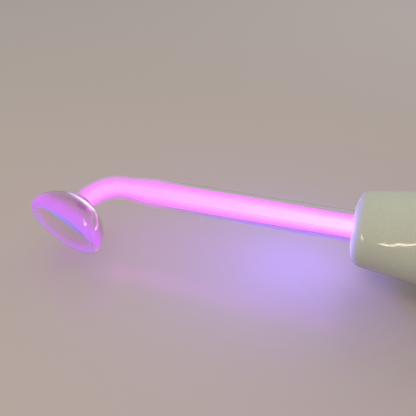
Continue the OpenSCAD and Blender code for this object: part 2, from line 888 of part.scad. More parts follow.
// Shaft from the knob to the contact slider, with a groove for its clip
module knob_shaft() {
    groove_x = bush_x - clip_len - 2 * clear_gap;
    color("#a9abab")
        turned([[screw_x, 0],
                [screw_x, screw_r - 0.5],
                [screw_x + 0.5, screw_r],
                [screw_end_x, screw_r],
                [screw_end_x, shaft_r],
                [groove_x, shaft_r],
                [groove_x, shaft_r - clip_groove],
                [groove_x + clip_len + clear_gap, shaft_r - clip_groove],
                [groove_x + clip_len + clear_gap, shaft_r],
                [knob_x + knob_h - shaft_in, shaft_r],
                [knob_x + knob_h - shaft_in, 0]]);
}

// Grub screw that locks the knob on its shaft
module knob_set_screw() {
    color("#55524c")
        translate([set_screw_x, 0, -shaft_r - 0.05])
            mirror([0, 0, 1])
                difference() {
                    cylinder(h = set_screw_len, r = set_screw_r);
                    translate([-set_screw_r, -0.25, set_screw_len - 0.7])
                        cube([2 * set_screw_r, 0.5, 1]);
                }
}

// Spring clip in the shaft's groove, behind the bush
module shaft_clip() {
    x = bush_x - clip_len - 2 * clear_gap + clear_gap / 2;
    mouth = 0.7 * (shaft_r - clip_groove);
    color("#8a8d90")
        difference() {
            turned([[x, shaft_r - clip_groove + run_gap],
                    [x, shaft_r + 1.6],
                    [x + clip_len, shaft_r + 1.6],
                    [x + clip_len, shaft_r - clip_groove + run_gap]]);
            translate([x - 1, -mouth, -2 * shaft_r])
                cube([clip_len + 2, 2 * mouth, 2 * shaft_r]);
        }
}

// Plated metal cap on the stem's tail
module electrode_cap() {
    round_r = 1.2;
    color("#b9bcc0")
        translate([nose_x, 0, 0])
            turned(concat(
                [[ferrule_s, ferrule_r - ferrule_wall],
                 [ferrule_s, ferrule_r]],
                [for (i = [0:edge_steps])
                    let (a = i * 90 / edge_steps)
                    [ferrule_end_s - round_r * (1 - sin(a)), ferrule_r - round_r * (1 - cos(a))]],
                [[ferrule_end_s, 0],
                 [ferrule_end_s - ferrule_end_t, 0],
                 [ferrule_end_s - ferrule_end_t, ferrule_r - ferrule_wall - 0.5],
                 [ferrule_end_s - ferrule_end_t - 0.5, ferrule_r - ferrule_wall]]));
}

// Cement between the cap and the glass
module cap_cement() {
    color("#d8d2c2")
        translate([nose_x, 0, 0])
            turned([[ferrule_s + 0.5, cement_ro - cement_t],
                    [ferrule_s + 0.5, cement_ro],
                    [tail_s - tail_r, cement_ro],
                    [tail_s - tail_r, cement_ro - cement_t]]);
}

// The electrode's own frame: X runs along the stem from the start of the bend, and the bend turns to -Z.
// Outline of the stem, drawn down before the bend, from its front end to its sealed tail;
// thin is how far inside the glass it lies
function stem_outline(thin) = let (
        round_r = tail_r - thin,
        shoulder_x = stem_len + shoulder_s,
        tail_c = stem_len + tail_s - tail_r
    ) concat(
        [[0, bend_ro - thin],
         [draw_len, stem_r - thin],
         [shoulder_x - shoulder_len, stem_r - thin],
         [shoulder_x, round_r]],
        [for (i = [0:edge_steps - 1])
            let (a = i * 90 / edge_steps)
            [tail_c + round_r * sin(a), round_r * cos(a)]]);

// Wall of the stem
module stem_wall() {
    outside = stem_outline(0);
    inside = stem_outline(glass_wall);
    last = len(inside) - 1;
    turned(concat(
        outside,
        [[outside[last][0], 0], [inside[last][0], 0]],
        [for (i = [last:-1:0]) inside[i]]));
}

// Pip where the glass was sealed off, at the end of the tail
module tail_pip() {
    root_x = stem_len + tail_s - glass_wall / 2;
    end_x = stem_len + tail_s + tip_len;
    turned([[root_x, 0],
            [root_x, tip_r],
            [end_x - 2 * tip_r, tip_r],
            [end_x - tip_r / 2, tip_r * 0.8],
            [end_x, tip_r * 0.4],
            [end_x, 0]]);
}

// Wall of the bend, whose end laps into the head's neck, where it is sealed
module bend_wall() {
    translate([0, 0, -bend_r])
        rotate([90, 0, 0])
            rotate([0, 0, 90])
                rotate_extrude(angle = bend_angle + seal_lap)
                    translate([bend_r, 0])
                        difference() {
                            circle(r = bend_ro, $fn = 48);
                            circle(r = bend_ro - glass_wall, $fn = 48);
                        }
}

// Outline of the head's dome and rim, from the neck to the flat face, as [radius, distance from the neck]
function head_outline(thin) = let (
        wide = head_r - thin,
        deep = dome_axis - thin,
        neck = thin > 0 ? bend_ro - thin + seal_step : neck_r,
        start = acos(neck / wide),
        steps = 10
    ) concat(
        [[neck, 0]],
        [for (i = [thin > 0 ? 0 : 1:steps])
            let (a = start * (1 - i / steps))
            [wide * cos(a), head_depth - deep * sin(a)]],
        [for (i = [1:edge_steps])
            let (a = i * 90 / edge_steps)
            [head_r - rim_r + (rim_r - thin) * cos(a), head_depth + (rim_r - thin) * sin(a)]],
        [[0, head_depth + rim_r - thin]]);

// Wall of the mushroom head, square to the bend's end, with the bead where the neck is sealed to it
module head_wall() {
    inside = head_outline(glass_wall);
    translate([0, 0, -bend_r])
        rotate([0, -bend_angle, 0])
            translate([0, 0, bend_r])
                rotate([0, -90, 0]) {
                    rotate_extrude()
                        polygon(concat(head_outline(0), [for (i = [len(inside) - 1:-1:0]) inside[i]]));
                    rotate_extrude()
                        translate([neck_r, 0])
                            circle(r = bead_d / 2, $fn = 24);
                }
}

// Blown glass electrode: one sealed hollow envelope of stem, bend and mushroom head
module electrode_glass() {
    color("#e6a6ee", 0.5)
        translate([bend_x, 0, 0])
            rotate([-rest_roll, 0, 0])
                union() {
                    stem_wall();
                    tail_pip();
                    bend_wall();
                    head_wall();
                }
}

nose_shell();
grip_shell();
end_cap();
end_cap_screws();
cord_grommet();
shaft_bush();
bush_nut();
stem_grip_ring();
contact_cup();
coil_former();
secondary_pies();
coil_sleeve();
primary_winding();
coil_bulkhead();
chassis_plate();
magnet_yoke();
magnet_core();
magnet_bobbin();
magnet_winding();
reed_post();
reed_clamp();
guide_bracket();
condenser();
condenser_clip();
terminal_block();
terminal_screws();
chassis_screws();
knob();
knob_shaft();
knob_set_screw();
shaft_clip();
contact_slider();
fixed_contact();
armature_plate();
armature_reed();
moving_contact();
electrode_cap();
cap_cement();
electrode_glass();
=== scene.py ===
import math

import bmesh
import bpy
from mathutils import Matrix, Vector


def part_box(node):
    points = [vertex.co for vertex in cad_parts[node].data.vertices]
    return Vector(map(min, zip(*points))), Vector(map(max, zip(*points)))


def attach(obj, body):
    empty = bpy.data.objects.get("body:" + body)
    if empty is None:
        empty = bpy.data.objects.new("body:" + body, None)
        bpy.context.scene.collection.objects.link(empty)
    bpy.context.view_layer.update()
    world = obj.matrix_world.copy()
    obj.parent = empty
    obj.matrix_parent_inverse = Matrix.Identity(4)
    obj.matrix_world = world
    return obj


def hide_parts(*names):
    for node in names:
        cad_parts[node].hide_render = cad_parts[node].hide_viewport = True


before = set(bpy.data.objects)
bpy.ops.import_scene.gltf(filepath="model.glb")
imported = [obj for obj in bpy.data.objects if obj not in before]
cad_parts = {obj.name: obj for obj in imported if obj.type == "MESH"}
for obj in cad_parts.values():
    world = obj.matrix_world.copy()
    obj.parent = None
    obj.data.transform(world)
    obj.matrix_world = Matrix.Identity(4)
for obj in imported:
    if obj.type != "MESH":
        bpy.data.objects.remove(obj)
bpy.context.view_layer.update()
mm = 0.001
scene = bpy.context.scene
scene.view_settings.view_transform = "Standard"

# Handle sizes, mm

shellSet = {
    "barrel": 24.0,  # radius of the grip
    "gripEnds": (-39.0, 39.0),
    "noseFace": 13.95,  # radius at the nose's front
    "noseAngle": 6.75,  # taper on each side, degrees
    "blend": 35.0,  # length of the curve from the taper to the grip
    "faceEdge": 5.0,
    "faceCrown": 1.2,
    "frontWall": 3.75,
    "bore": 6.3,
    "boreEdge": (0.5, 0.9),  # its rounding, and the room that the face leaves for it
    "boss": 9.3,  # radius, round the bore inside the nose
    "guide": 12.0,  # length of the bore
    "ringGroove": (5.0, 8.1, 7.75),  # front, back, radius
    "wall": 2.5,
    "seamEdge": 0.45,
    "innerEdge": 0.3,
    "mouthEdge": 0.2,
    "spigot": (21.4, 19.0, 8.0),  # outside, inside, length
    "spigotRoot": (1.0, 2.0),  # from the seam to the widening inside, and its length in the grip
    "fit": 0.1,  # play between pieces that go into each other
    "capEnd": 59.0,
    "capWall": 4.0,
    "capEdge": 4.0,
    "capFillet": 1.0,
    "capGap": 0.2,  # from the spigot's end to the cap's step
    "sides": 160,
}
coneFall = math.tan(math.radians(shellSet["noseAngle"]))
blendRise = shellSet["blend"] * math.tan(math.radians(shellSet["noseAngle"] / 2))
coneLength = (shellSet["barrel"] - blendRise - shellSet["noseFace"]) / coneFall
noseX = shellSet["gripEnds"][0] - shellSet["blend"] - coneLength  # plane of the nose's face
tableZ = -shellSet["barrel"]  # the barrel lies on the table


def linear(code):  # sRGB hex to linear colour
    parts = [int(code[i:i + 2], 16) / 255 for i in (1, 3, 5)]
    return (*[c / 12.92 if c <= 0.04045 else ((c + 0.055) / 1.055) ** 2.4 for c in parts], 1.0)


def shares(count):  # 0 to 1 in equal steps
    return [k / count for k in range(count + 1)]


def ramp(value, low, high):  # 0 at low and 1 at high, with a soft start and end
    t = min(1.0, max(0.0, (value - low) / (high - low)))
    return t * t * (3 - 2 * t)


def between(ends, share):  # from the first value to the second
    return ends[0] + (ends[1] - ends[0]) * share


def addObject(name, data):
    thing = bpy.data.objects.new(name, data)
    scene.collection.objects.link(thing)
    return thing


def setInputs(tree, node, inputs):  # values and links
    for key, value in inputs.items():
        if isinstance(value, bpy.types.NodeSocket):
            tree.links.new(value, node.inputs[key])
        else:
            node.inputs[key].default_value = value


def addNode(tree, kind, inputs=None, stops=(), **settings):
    # a node with its settings, values and links, and a colour ramp's (position, colour) stops
    node = tree.nodes.new(kind)
    for name, value in settings.items():
        setattr(node, name, value)
    elements = node.color_ramp.elements if stops else []
    while len(elements) < len(stops):
        elements.new(0.5)
    for element, (position, code) in zip(elements, stops):
        element.position, element.color = position, linear(code)
    setInputs(tree, node, inputs or {})
    return node


# Camera, fitted to the photograph's outlines; lengths in mm, from the nose's face

cameraSet = {
    "lens": 45.0,
    "sensor": 36.0,
    "clip": (0.01, 50.0),  # m
    "target": (-40.0, 0.0, 0.0),
    "azimuth": 19.69,
    "elevation": 32.83,
    "roll": -1.18,
    "distance": 204.06,
    "slideRight": -16.47,
    "slideUp": 0.75,
}


def makeCamera(s):
    az, el, roll = (math.radians(s[k]) for k in ("azimuth", "elevation", "roll"))
    back = Vector((math.sin(az) * math.cos(el), -math.cos(az) * math.cos(el), math.sin(el)))
    right = (-back).cross(Vector((0, 0, 1))).normalized()
    up = back.cross(right)
    place = Vector(s["target"]) + Vector((noseX, 0, 0)) + back * s["distance"]
    place += right * s["slideRight"] + up * s["slideUp"]
    turnedRight = right * math.cos(roll) + up * math.sin(roll)
    turnedUp = up * math.cos(roll) - right * math.sin(roll)
    data = bpy.data.cameras.new("camera")
    data.lens, data.sensor_width = s["lens"], s["sensor"]
    data.clip_start, data.clip_end = s["clip"]
    camera = addObject("camera", data)
    axes = Matrix((turnedRight, turnedUp, back)).transposed().to_4x4()
    camera.matrix_world = Matrix.Translation(place * mm) @ axes
    scene.camera = camera


makeCamera(cameraSet)
print("camera set")


# Meshes

def addPiece(name, mesh, material, body, slot, *nodes):
    piece = addObject(name, mesh)
    mesh.materials.clear()
    mesh.materials.append(material)
    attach(piece, body)
    if nodes:
        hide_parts(*nodes)
    return piece


def toMesh(bm, name):
    mesh = bpy.data.meshes.new(name)
    bm.to_mesh(mesh)
    bm.free()
    return mesh


def fromMesh(mesh):
    bm = bmesh.new()
    bm.from_mesh(mesh)
    bpy.data.meshes.remove(mesh)
    return bm


def faceOutward(bm, mergeGap):  # merged, turned outward and smooth
    bmesh.ops.remove_doubles(bm, verts=bm.verts, dist=mergeGap)
    bmesh.ops.recalc_face_normals(bm, faces=bm.faces)
    if bm.calc_volume(signed=True) < 0:
        bmesh.ops.reverse_faces(bm, faces=bm.faces)
    for face in bm.faces:
        face.smooth = True


def closeMesh(bm, name, sharpAngle=32):  # outward faces, smooth but for sharp edges
    faceOutward(bm, 1e-7)
    for edge in bm.edges:
        if len(edge.link_faces) == 2:
            edge.smooth = edge.calc_face_angle(0) < math.radians(sharpAngle)
    return toMesh(bm, name)


def rounded(corners, steps=6):  # closed outline from (x, r, fillet) corners
    points = []
    for i, (x, r, fillet) in enumerate(corners):
        here = Vector((x, r))
        if not fillet:
            points.append(here)
            continue
        before = (Vector(corners[i - 1][:2]) - here).normalized()
        after = (Vector(corners[(i + 1) % len(corners)][:2]) - here).normalized()
        half = before.angle(after) / 2
        reach = fillet / math.tan(half)
        centre = here + (before + after).normalized() * (fillet / math.sin(half))
        first, last = here + before * reach - centre, here + after * reach - centre
        for t in shares(steps):
            points.append(centre + first.lerp(last, t).normalized() * fillet)
    return points


def lathe(outline, segments, axisZ=0.0, shape=None):
    # turns an (x, r) outline in mm round the line z = axisZ; shape(x, r, angle) may change a radius
    bm = bmesh.new()
    rings = []
    for x, r in outline:
        if r < 1e-6:
            rings.append([bm.verts.new((x * mm, 0, axisZ * mm))])
            continue
        ring = []
        for k in range(segments):
            a = 2 * math.pi * k / segments
            rr = shape(x, r, a) if shape else r
            ring.append(bm.verts.new((x * mm, rr * math.sin(a) * mm, (axisZ + rr * math.cos(a)) * mm)))
        rings.append(ring)
    for i, ring in enumerate(rings):
        after = rings[(i + 1) % len(rings)]
        if len(ring) == 1 and len(after) == 1:
            continue
        for k in range(segments):
            n = (k + 1) % segments
            corners = [ring[k % len(ring)], ring[n % len(ring)], after[n % len(after)], after[k % len(after)]]
            bm.faces.new(list(dict.fromkeys(corners)))
    return bm


def rod(front, back, radius, segments, axisZ=0.0):
    return lathe([(front, 0), (front, radius), (back, radius), (back, 0)], segments, axisZ)


def block(size, centre):
    bm = bmesh.new()
    bmesh.ops.create_cube(bm, size=1.0)
    bmesh.ops.scale(bm, vec=[v * mm for v in size], verts=bm.verts)
    bmesh.ops.translate(bm, vec=[v * mm for v in centre], verts=bm.verts)
    return bm


def bake(thing, name):  # the object with its modifiers as a plain mesh
    graph = bpy.context.evaluated_depsgraph_get()
    mesh = bpy.data.meshes.new_from_object(thing.evaluated_get(graph))
    mesh.name = name
    bpy.data.objects.remove(thing)
    return mesh


def cutBy(bm, cutters, name):  # boolean difference of closed meshes
    base = addObject(name, closeMesh(bm, name))
    tools = [addObject("cutter", closeMesh(cutter, "cutter")) for cutter in cutters]
    for tool in tools:
        cut = base.modifiers.new("cut", "BOOLEAN")
        cut.operation, cut.solver, cut.object = "DIFFERENCE", "EXACT", tool
    result = fromMesh(bake(base, name))
    for tool in tools:
        bpy.data.objects.remove(tool)
    return result


def newNodes(name, inputs):  # an empty Geometry Nodes tree with named inputs
    tree = bpy.data.node_groups.new(name, "GeometryNodeTree")
    tree.interface.new_socket("Geometry", in_out="INPUT", socket_type="NodeSocketGeometry")
    for label, kind in inputs:
        tree.interface.new_socket(label, in_out="INPUT", socket_type=kind)
    tree.interface.new_socket("Geometry", in_out="OUTPUT", socket_type="NodeSocketGeometry")
    return tree, tree.nodes.new("NodeGroupInput"), tree.nodes.new("NodeGroupOutput")


def endNodes(tree, geometry, given, out):  # the tree's result, realised and with its material
    solid = addNode(tree, "GeometryNodeRealizeInstances", {"Geometry": geometry})
    finish = addNode(tree, "GeometryNodeSetMaterial", {
        "Geometry": solid.outputs["Geometry"], "Material": given.outputs["Material"]})
    setInputs(tree, out, {"Geometry": finish.outputs["Geometry"]})


def useNodes(thing, tree, values):  # the modifier's inputs go by socket identifier
    modifier = thing.modifiers.new(tree.name, "NODES")
    modifier.node_group = tree
    for item in tree.interface.items_tree:
        if item.in_out == "INPUT" and item.name in values:
            modifier[item.identifier] = values[item.name]


# Finishes

noiseSpan = {"From Min": 0.3, "From Max": 0.7}  # where most of a noise's values lie


def newFinish(name):
    material = bpy.data.materials.new(name)
    material.use_nodes = True
    tree = material.node_tree
    shader = tree.nodes["Principled BSDF"]
    where = addNode(tree, "ShaderNodeTexCoord").outputs["Object"]
    return material, tree, shader, where


def setSurface(tree, shader, gloss, rough, relief, depth, strength):
    # roughness between two values from one pattern, and a relief from the same or another
    spread = addNode(tree, "ShaderNodeMapRange", {
        **noiseSpan, "Value": gloss, "To Min": rough[0], "To Max": rough[1]})
    bump = addNode(tree, "ShaderNodeBump", {"Height": relief, "Distance": depth, "Strength": strength})
    setInputs(tree, shader, {"Roughness": spread.outputs["Result"], "Normal": bump.outputs["Normal"]})


mouldedSet = {
    "deep": (0.12, "#b5baa9"),
    "pale": (0.42, "#c0c4b4"),  # warm grey ivory
    "roughness": (0.05, 0.09),
    "flowScale": 1 / 0.045,  # clouding of the moulding powder, about 45 mm
    "waveScale": 1 / 0.007,  # sinks and swirls of a hand-buffed moulding, about 7 mm
    "waveDepth": 0.0001,
    "speckScale": 1 / 0.0006,  # filler specks, real ones about 0.2 mm, drawn at 0.6 mm so that they show
    "ior": 1.55,
    "depthOfLight": (0.08, (0.0012, 0.0011, 0.0008)),  # share of light that goes in, and how far in m
}


def makeMoulded(s):
    # Urea moulding, compression moulded and buffed: an even, slightly translucent ivory with a waxy
    # gloss, faint clouding, and a surface that isn't quite flat
    material, tree, shader, where = newFinish("ureaMoulding")
    cloud = addNode(tree, "ShaderNodeTexNoise", {"Vector": where, "Scale": s["flowScale"], "Detail": 3.0})
    speck = addNode(tree, "ShaderNodeTexNoise", {"Vector": where, "Scale": s["speckScale"], "Detail": 2.0})
    wave = addNode(tree, "ShaderNodeTexNoise", {"Vector": where, "Scale": s["waveScale"], "Detail": 1.0})
    both = addNode(tree, "ShaderNodeMath", {
        0: cloud.outputs["Fac"], 1: speck.outputs["Fac"]}, operation="MULTIPLY")
    tone = addNode(tree, "ShaderNodeValToRGB", {"Fac": both.outputs["Value"]}, [s["deep"], s["pale"]])
    setSurface(tree, shader, cloud.outputs["Fac"], s["roughness"], wave.outputs["Fac"], s["waveDepth"], 1.0)
    share, reach = s["depthOfLight"]
    setInputs(tree, shader, {
        "Base Color": tone.outputs["Color"], "IOR": s["ior"], "Subsurface Weight": share,
        "Subsurface Radius": reach, "Subsurface Scale": 1.0})
    return material


metalSets = {
    # name: colour, darker colour, roughness range, scratch spacing in m, metallic
    "nickelPlate": ("#d2cfc8", "#b4b0a6", (0.16, 0.26), 0.0008, 1.0),  # plated and buffed
    "turnedBrass": ("#c8a259", "#9c7a3c", (0.22, 0.42), 0.0006, 1.0),  # lathe-turned, a little dull
    "softIron": ("#6e6f70", "#4b4a49", (0.42, 0.62), 0.0012, 1.0),  # annealed iron, grey skin
    "brightSteel": ("#aeb0b2", "#87898c", (0.22, 0.4), 0.0007, 1.0),  # drawn bar
    "blueSpringSteel": ("#5d6672", "#3f4a5a", (0.26, 0.4), 0.0009, 1.0),  # tempered strip, blued
    "silverContact": ("#d8d6cf", "#a8a59c", (0.3, 0.5), 0.0005, 1.0),  # rivet heads, dulled by sparks
    "tinnedPlate": ("#b6b5a9", "#918f82", (0.3, 0.5), 0.003, 1.0),  # tin can with soft spangle
    "enamelWire": ("#8a3d1c", "#5f2812", (0.25, 0.4), 0.0004, 0.35),  # enamelled copper
    "bareCopper": ("#c26a3b", "#94491f", (0.25, 0.42), 0.0006, 1.0),  # drawn copper wire
}
wearScale = 1 / 0.006  # duller patches, about 6 mm
grainDepth = 0.000003  # of the grain that drawing, turning or buffing leaves, in m


def makeMetal(name, s):
    colour, dark, rough, spacing, metallic = s
    material, tree, shader, where = newFinish(name)
    wear = addNode(tree, "ShaderNodeTexNoise", {"Vector": where, "Scale": wearScale, "Detail": 4.0})
    grain = addNode(tree, "ShaderNodeTexNoise", {"Vector": where, "Scale": 1 / spacing, "Detail": 2.0})
    tone = addNode(tree, "ShaderNodeMix", {
        "Factor": wear.outputs["Fac"], 6: linear(colour), 7: linear(dark)}, data_type="RGBA")
    setSurface(tree, shader, grain.outputs["Fac"], rough, grain.outputs["Fac"], grainDepth, 0.6)
    setInputs(tree, shader, {"Base Color": tone.outputs[2], "Metallic": metallic})
    return material


dullSets = {
    # name: colour, second colour, pattern size in m, roughness range, IOR, bump depth in m
    "blackRubber": ("#262523", "#34322f", 0.0011, (0.5, 0.7), 1.52, 0.00003),  # moulded, fine bloom
    "mottledPhenolic": ("#2e1a13", "#5a3323", 0.0045, (0.18, 0.3), 1.6, 0.00001),  # brown moulding powder
    "paperPhenolic": ("#5a3d2a", "#6e4d35", 0.0016, (0.35, 0.5), 1.58, 0.00001),  # laminated sheet
    "varnishedPaper": ("#a5773a", "#c39350", 0.0024, (0.3, 0.45), 1.5, 0.00002),  # shellacked wraps
    "whitePorcelain": ("#e4dfd2", "#d7d1c1", 0.006, (0.12, 0.2), 1.5, 0.00001),  # glazed terminal block
    "plasterCement": ("#cfc8b6", "#b8b09c", 0.0007, (0.75, 0.9), 1.5, 0.00004),  # set cement, gritty
}
mottleSpan = (0.4, 0.66)  # of the pattern: the first colour below it, the second above


def makeDull(name, s):
    colour, second, size, rough, ior, depth = s
    material, tree, shader, where = newFinish(name)
    mottle = addNode(tree, "ShaderNodeTexNoise", {
        "Vector": where, "Scale": 1 / size, "Detail": 3.0, "Distortion": 0.6})
    stops = list(zip(mottleSpan, (colour, second)))
    tone = addNode(tree, "ShaderNodeValToRGB", {"Fac": mottle.outputs["Fac"]}, stops)
    setSurface(tree, shader, mottle.outputs["Fac"], rough, mottle.outputs["Fac"], depth, 0.7)
    setInputs(tree, shader, {"Base Color": tone.outputs["Color"], "IOR": ior})
    return material


glassSet = {
    "tint": "#fbf4fc",
    "roughness": 0.012,
    "ior": 1.5,
    "waveScale": 1 / 0.009,  # flame-worked ripples, about 9 mm apart
    "waveDepth": 0.00003,
}


def makeGlass(s):
    # Lamp-worked soda glass: clear, with slow ripples from the flame
    material, tree, shader, where = newFinish("blownGlass")
    wave = addNode(tree, "ShaderNodeTexNoise", {"Vector": where, "Scale": s["waveScale"], "Detail": 1.0})
    bump = addNode(tree, "ShaderNodeBump", {
        "Height": wave.outputs["Fac"], "Distance": s["waveDepth"], "Strength": 0.5})
    setInputs(tree, shader, {
        "Normal": bump.outputs["Normal"], "Base Color": linear(s["tint"]), "Roughness": s["roughness"],
        "IOR": s["ior"], "Transmission Weight": 1.0})
    return material


glowSets = {
    # name: strength, then (level, colour) from the faint end to the hot one
    "gasSheath": (2.0, [(0.0, "#ee64fa"), (1.0, "#ee68ff")]),  # pink, next to the glass
    "gasMiddle": (2.0, [(0.0, "#ee98fd"), (1.0, "#eeb0ff")]),
    "gasInner": (2.0, [(0.0, "#eeaafe"), (1.0, "#eed8ff")]),
    "gasCore": (2.0, [(0.0, "#eea6fe"), (1.0, "#eef4ff")]),  # near white at the high-voltage end
    "stemGlow": (1.0, [(0.0, "#ba8afc"), (1.0, "#ba8afc")]),  # painted reflection of the violet-lit table: violet light in the stem's glass
    "bendGlow": (2.0, [(0.0, "#7c4f7c"), (0.5, "#ea64f8")]),  # painted light: the gas's light piped in the glass of the bend
    # painted light in the head's glass, brighter on its lit side, with painted shade on the far side
    "headGlow": (1.1, [(0.0, "#8a5a80"), (0.35, "#b06bb0"), (0.7, "#dc72ff"), (1.0, "#a596ff")]),
    "shoulderGlow": (1.3, [(0.2, "#a89cff"), (0.45, "#dccaff"), (0.65, "#fff6ff")]),  # painted highlight next to the weld
    "rimGlow": (1.1, [(0.0, "#c074f6"), (1.0, "#c87cfa")]),  # painted light piped round the rim's glass
    "faceGlow": (1.1, [(0.3, "#8a7af0"), (0.7, "#aca4ff")]),  # painted blue streak in the glass of the face
    "domeGlow": (1.1, [(0.0, "#f47cf0"), (1.0, "#ffeaff")]),  # painted highlights: lines and a spot in the dome's glass
}
driftScale = 1 / 0.012  # slow striations along the gas, about 12 mm
driftDepth = 0.16  # of the level


def makeGlow(name, s):
    # Glowing rarefied gas, and painted light in the glass that stands for the gas's light piped and refracted
    # there: no surface, only light. The attribute glowLevel runs from the faint end at 0 to the hot one at 1,
    # and glowCover says how much of the view it fills.
    strength, stops = s
    material, tree, shader, where = newFinish(name)
    heat = addNode(tree, "ShaderNodeAttribute", attribute_name="glowLevel")
    drift = addNode(tree, "ShaderNodeTexNoise", {"Vector": where, "Scale": driftScale, "Detail": 1.0})
    shift = addNode(tree, "ShaderNodeMath", {
        0: drift.outputs["Fac"], 1: driftDepth, 2: -driftDepth / 2}, operation="MULTIPLY_ADD")
    level = addNode(tree, "ShaderNodeMath", {
        0: heat.outputs["Fac"], 1: shift.outputs["Value"]}, operation="ADD")
    tone = addNode(tree, "ShaderNodeValToRGB", {"Fac": level.outputs["Value"]}, stops)
    setInputs(tree, shader, {
        "Emission Color": tone.outputs["Color"], "Emission Strength": strength, "Roughness": 1.0,
        "Base Color": linear("#000000"), "Specular IOR Level": 0.0})
    cover = addNode(tree, "ShaderNodeAttribute", attribute_name="glowCover")
    clear = addNode(tree, "ShaderNodeBsdfTransparent")
    mix = addNode(tree, "ShaderNodeMixShader", {
        "Fac": cover.outputs["Fac"], 1: clear.outputs["BSDF"], 2: shader.outputs["BSDF"]})
    setInputs(tree, tree.nodes["Material Output"], {"Surface": mix.outputs["Shader"]})
    return material


finishes = {name: makeMetal(name, s) for name, s in metalSets.items()}
finishes.update({name: makeDull(name, s) for name, s in dullSets.items()})
finishes["ureaMoulding"] = makeMoulded(mouldedSet)
finishes["blownGlass"] = makeGlass(glassSet)
finishes.update({name: makeGlow(name, s) for name, s in glowSets.items()})
print("finishes made:", len(finishes))


def addTurned(name, outline, segments, finish, body, slot, node, axisZ=0.0):  # a piece turned on a lathe
    addPiece(name, closeMesh(lathe(outline, segments, axisZ), name), finishes[finish], body, slot, node)


# Handle: nose, grip and rear cap, all turned mouldings

def spigotCorners(s, seam):  # from the barrel's edge at a seam to the foot of the spigot's inside
    outside, inside, length = s["spigot"]
    return [
        (seam, s["barrel"], s["seamEdge"]),
        (seam, outside, 0),
        (seam + length, outside, s["innerEdge"]),
        (seam + length, inside, s["innerEdge"]),
        (seam - s["spigotRoot"][0], inside, 0),
    ]


def noseOutline(s):
    front, back = noseX, s["gripEnds"][0]
    turn, edge = math.radians(s["noseAngle"]), s["faceEdge"]
    edgeCentre = s["noseFace"] + edge * coneFall - edge / math.cos(turn)
    crownAngle = 2 * math.atan(s["faceCrown"] / edgeCentre)
    faceRadius = edgeCentre / math.sin(crownAngle) + edge
    boreRound, boreRoom = s["boreEdge"]
    boreAngle = math.asin((s["bore"] + boreRoom) / faceRadius)

    def faceX(a):
        return front + faceRadius * (1 - math.cos(a)) - s["faceCrown"]

    def coneInside(x):
        return s["noseFace"] + (x - front) * coneFall - s["wall"]

    outside = [(faceX(math.asin(s["bore"] / faceRadius)), s["bore"], boreRound)]
    for t in shares(8)[:-1]:  # crowned face
        a = between((boreAngle, crownAngle), t)
        outside.append((faceX(a), faceRadius * math.sin(a), 0))
    for t in shares(16):  # rounded edge
        a = between((crownAngle, math.pi / 2 - turn), t)
        outside.append((front + edge * (1 - math.cos(a)), edgeCentre + edge * math.sin(a), 0))
    blendRadius = s["blend"] / math.sin(turn)
    for t in shares(13)[:-1]:  # curve from the taper to the grip
        a = turn * (1 - t)
        outside.append((back - blendRadius * math.sin(a), s["barrel"] - blendRadius * (1 - math.cos(a)), 0))
    rootRadius = s["barrel"] - s["wall"] - s["fit"]
    rootX = back - s["spigotRoot"][0] - (rootRadius - s["spigot"][1])
    coneEnd, frontIn = back - s["blend"], front + s["frontWall"]
    grooveFront, grooveBack, grooveRadius = s["ringGroove"]
    return rounded([
        *outside,
        *spigotCorners(s, back),
        (rootX, rootRadius, 0),
        (coneEnd, coneInside(coneEnd), 0),
        (frontIn, coneInside(frontIn), 0),
        (frontIn, s["boss"], 0),
        (front + s["guide"], s["boss"], s["innerEdge"]),
        (front + s["guide"], s["bore"], s["innerEdge"]),
        (front + grooveBack, s["bore"], 0),
        (front + grooveBack, grooveRadius, 0),
        (front + grooveFront, grooveRadius, 0),
        (front + grooveFront, s["bore"], 0),
    ], steps=8)


def gripOutline(s):
    front, back = s["gripEnds"]
    inner = s["barrel"] - s["wall"]
    return rounded([
        (front, inner, s["mouthEdge"]),
        (front, s["barrel"], s["seamEdge"]),
        *spigotCorners(s, back),
        (back - sum(s["spigotRoot"]), inner, 0),
    ])


railSet = {"ends": (-30.5, 35.5), "plateTop": -10.0, "plate": 2.0, "thick": 1.6, "halfGap": 15.5, "root": 0.3}


def addRails(bm, s, inner):  # two pairs of rails for the chassis plate, inside the grip
    for side in (-1, 1):
        for low in (s["plateTop"], s["plateTop"] - s["plate"] - s["thick"]):
            corners = []
            for z in (low, low + s["thick"]):
                outer = math.sqrt((inner + s["root"]) ** 2 - z * z)
                corners += [(side * s["halfGap"], z), (side * outer, z)]
            ring = [corners[i] for i in (0, 1, 3, 2)]
            ends = [[bm.verts.new((x * mm, y * mm, z * mm)) for y, z in ring] for x in s["ends"]]
            for k in range(4):
                n = (k + 1) % 4
                bm.faces.new((ends[0][k], ends[0][n], ends[1][n], ends[1][k]))
            bm.faces.new(ends[0])
            bm.faces.new(ends[1][::-1])


bushSet = {"radius": 4.6, "hole": 3.05, "flange": 6.1, "thick": 1.2, "front": 50.0}
grommetSet = {"z": 14.2, "hole": 3.3, "neck": 4.2, "flange": 4.7, "thick": 2.0, "gap": 0.05}
capScrewSet = {
    "station": 43.5,  # along the handle
    "angles": (90, 210, 330),
    "head": 2.7,
    "shank": 1.45,
    "inset": 0.15,  # of the head below the barrel
    "tip": 19.3,  # from the handle's axis
    "holeTip": 16.0,
    "gap": 0.06,  # round the screw in its hole
    "slot": (1.6, 8.0, 0.7),
    "sides": 48,
}


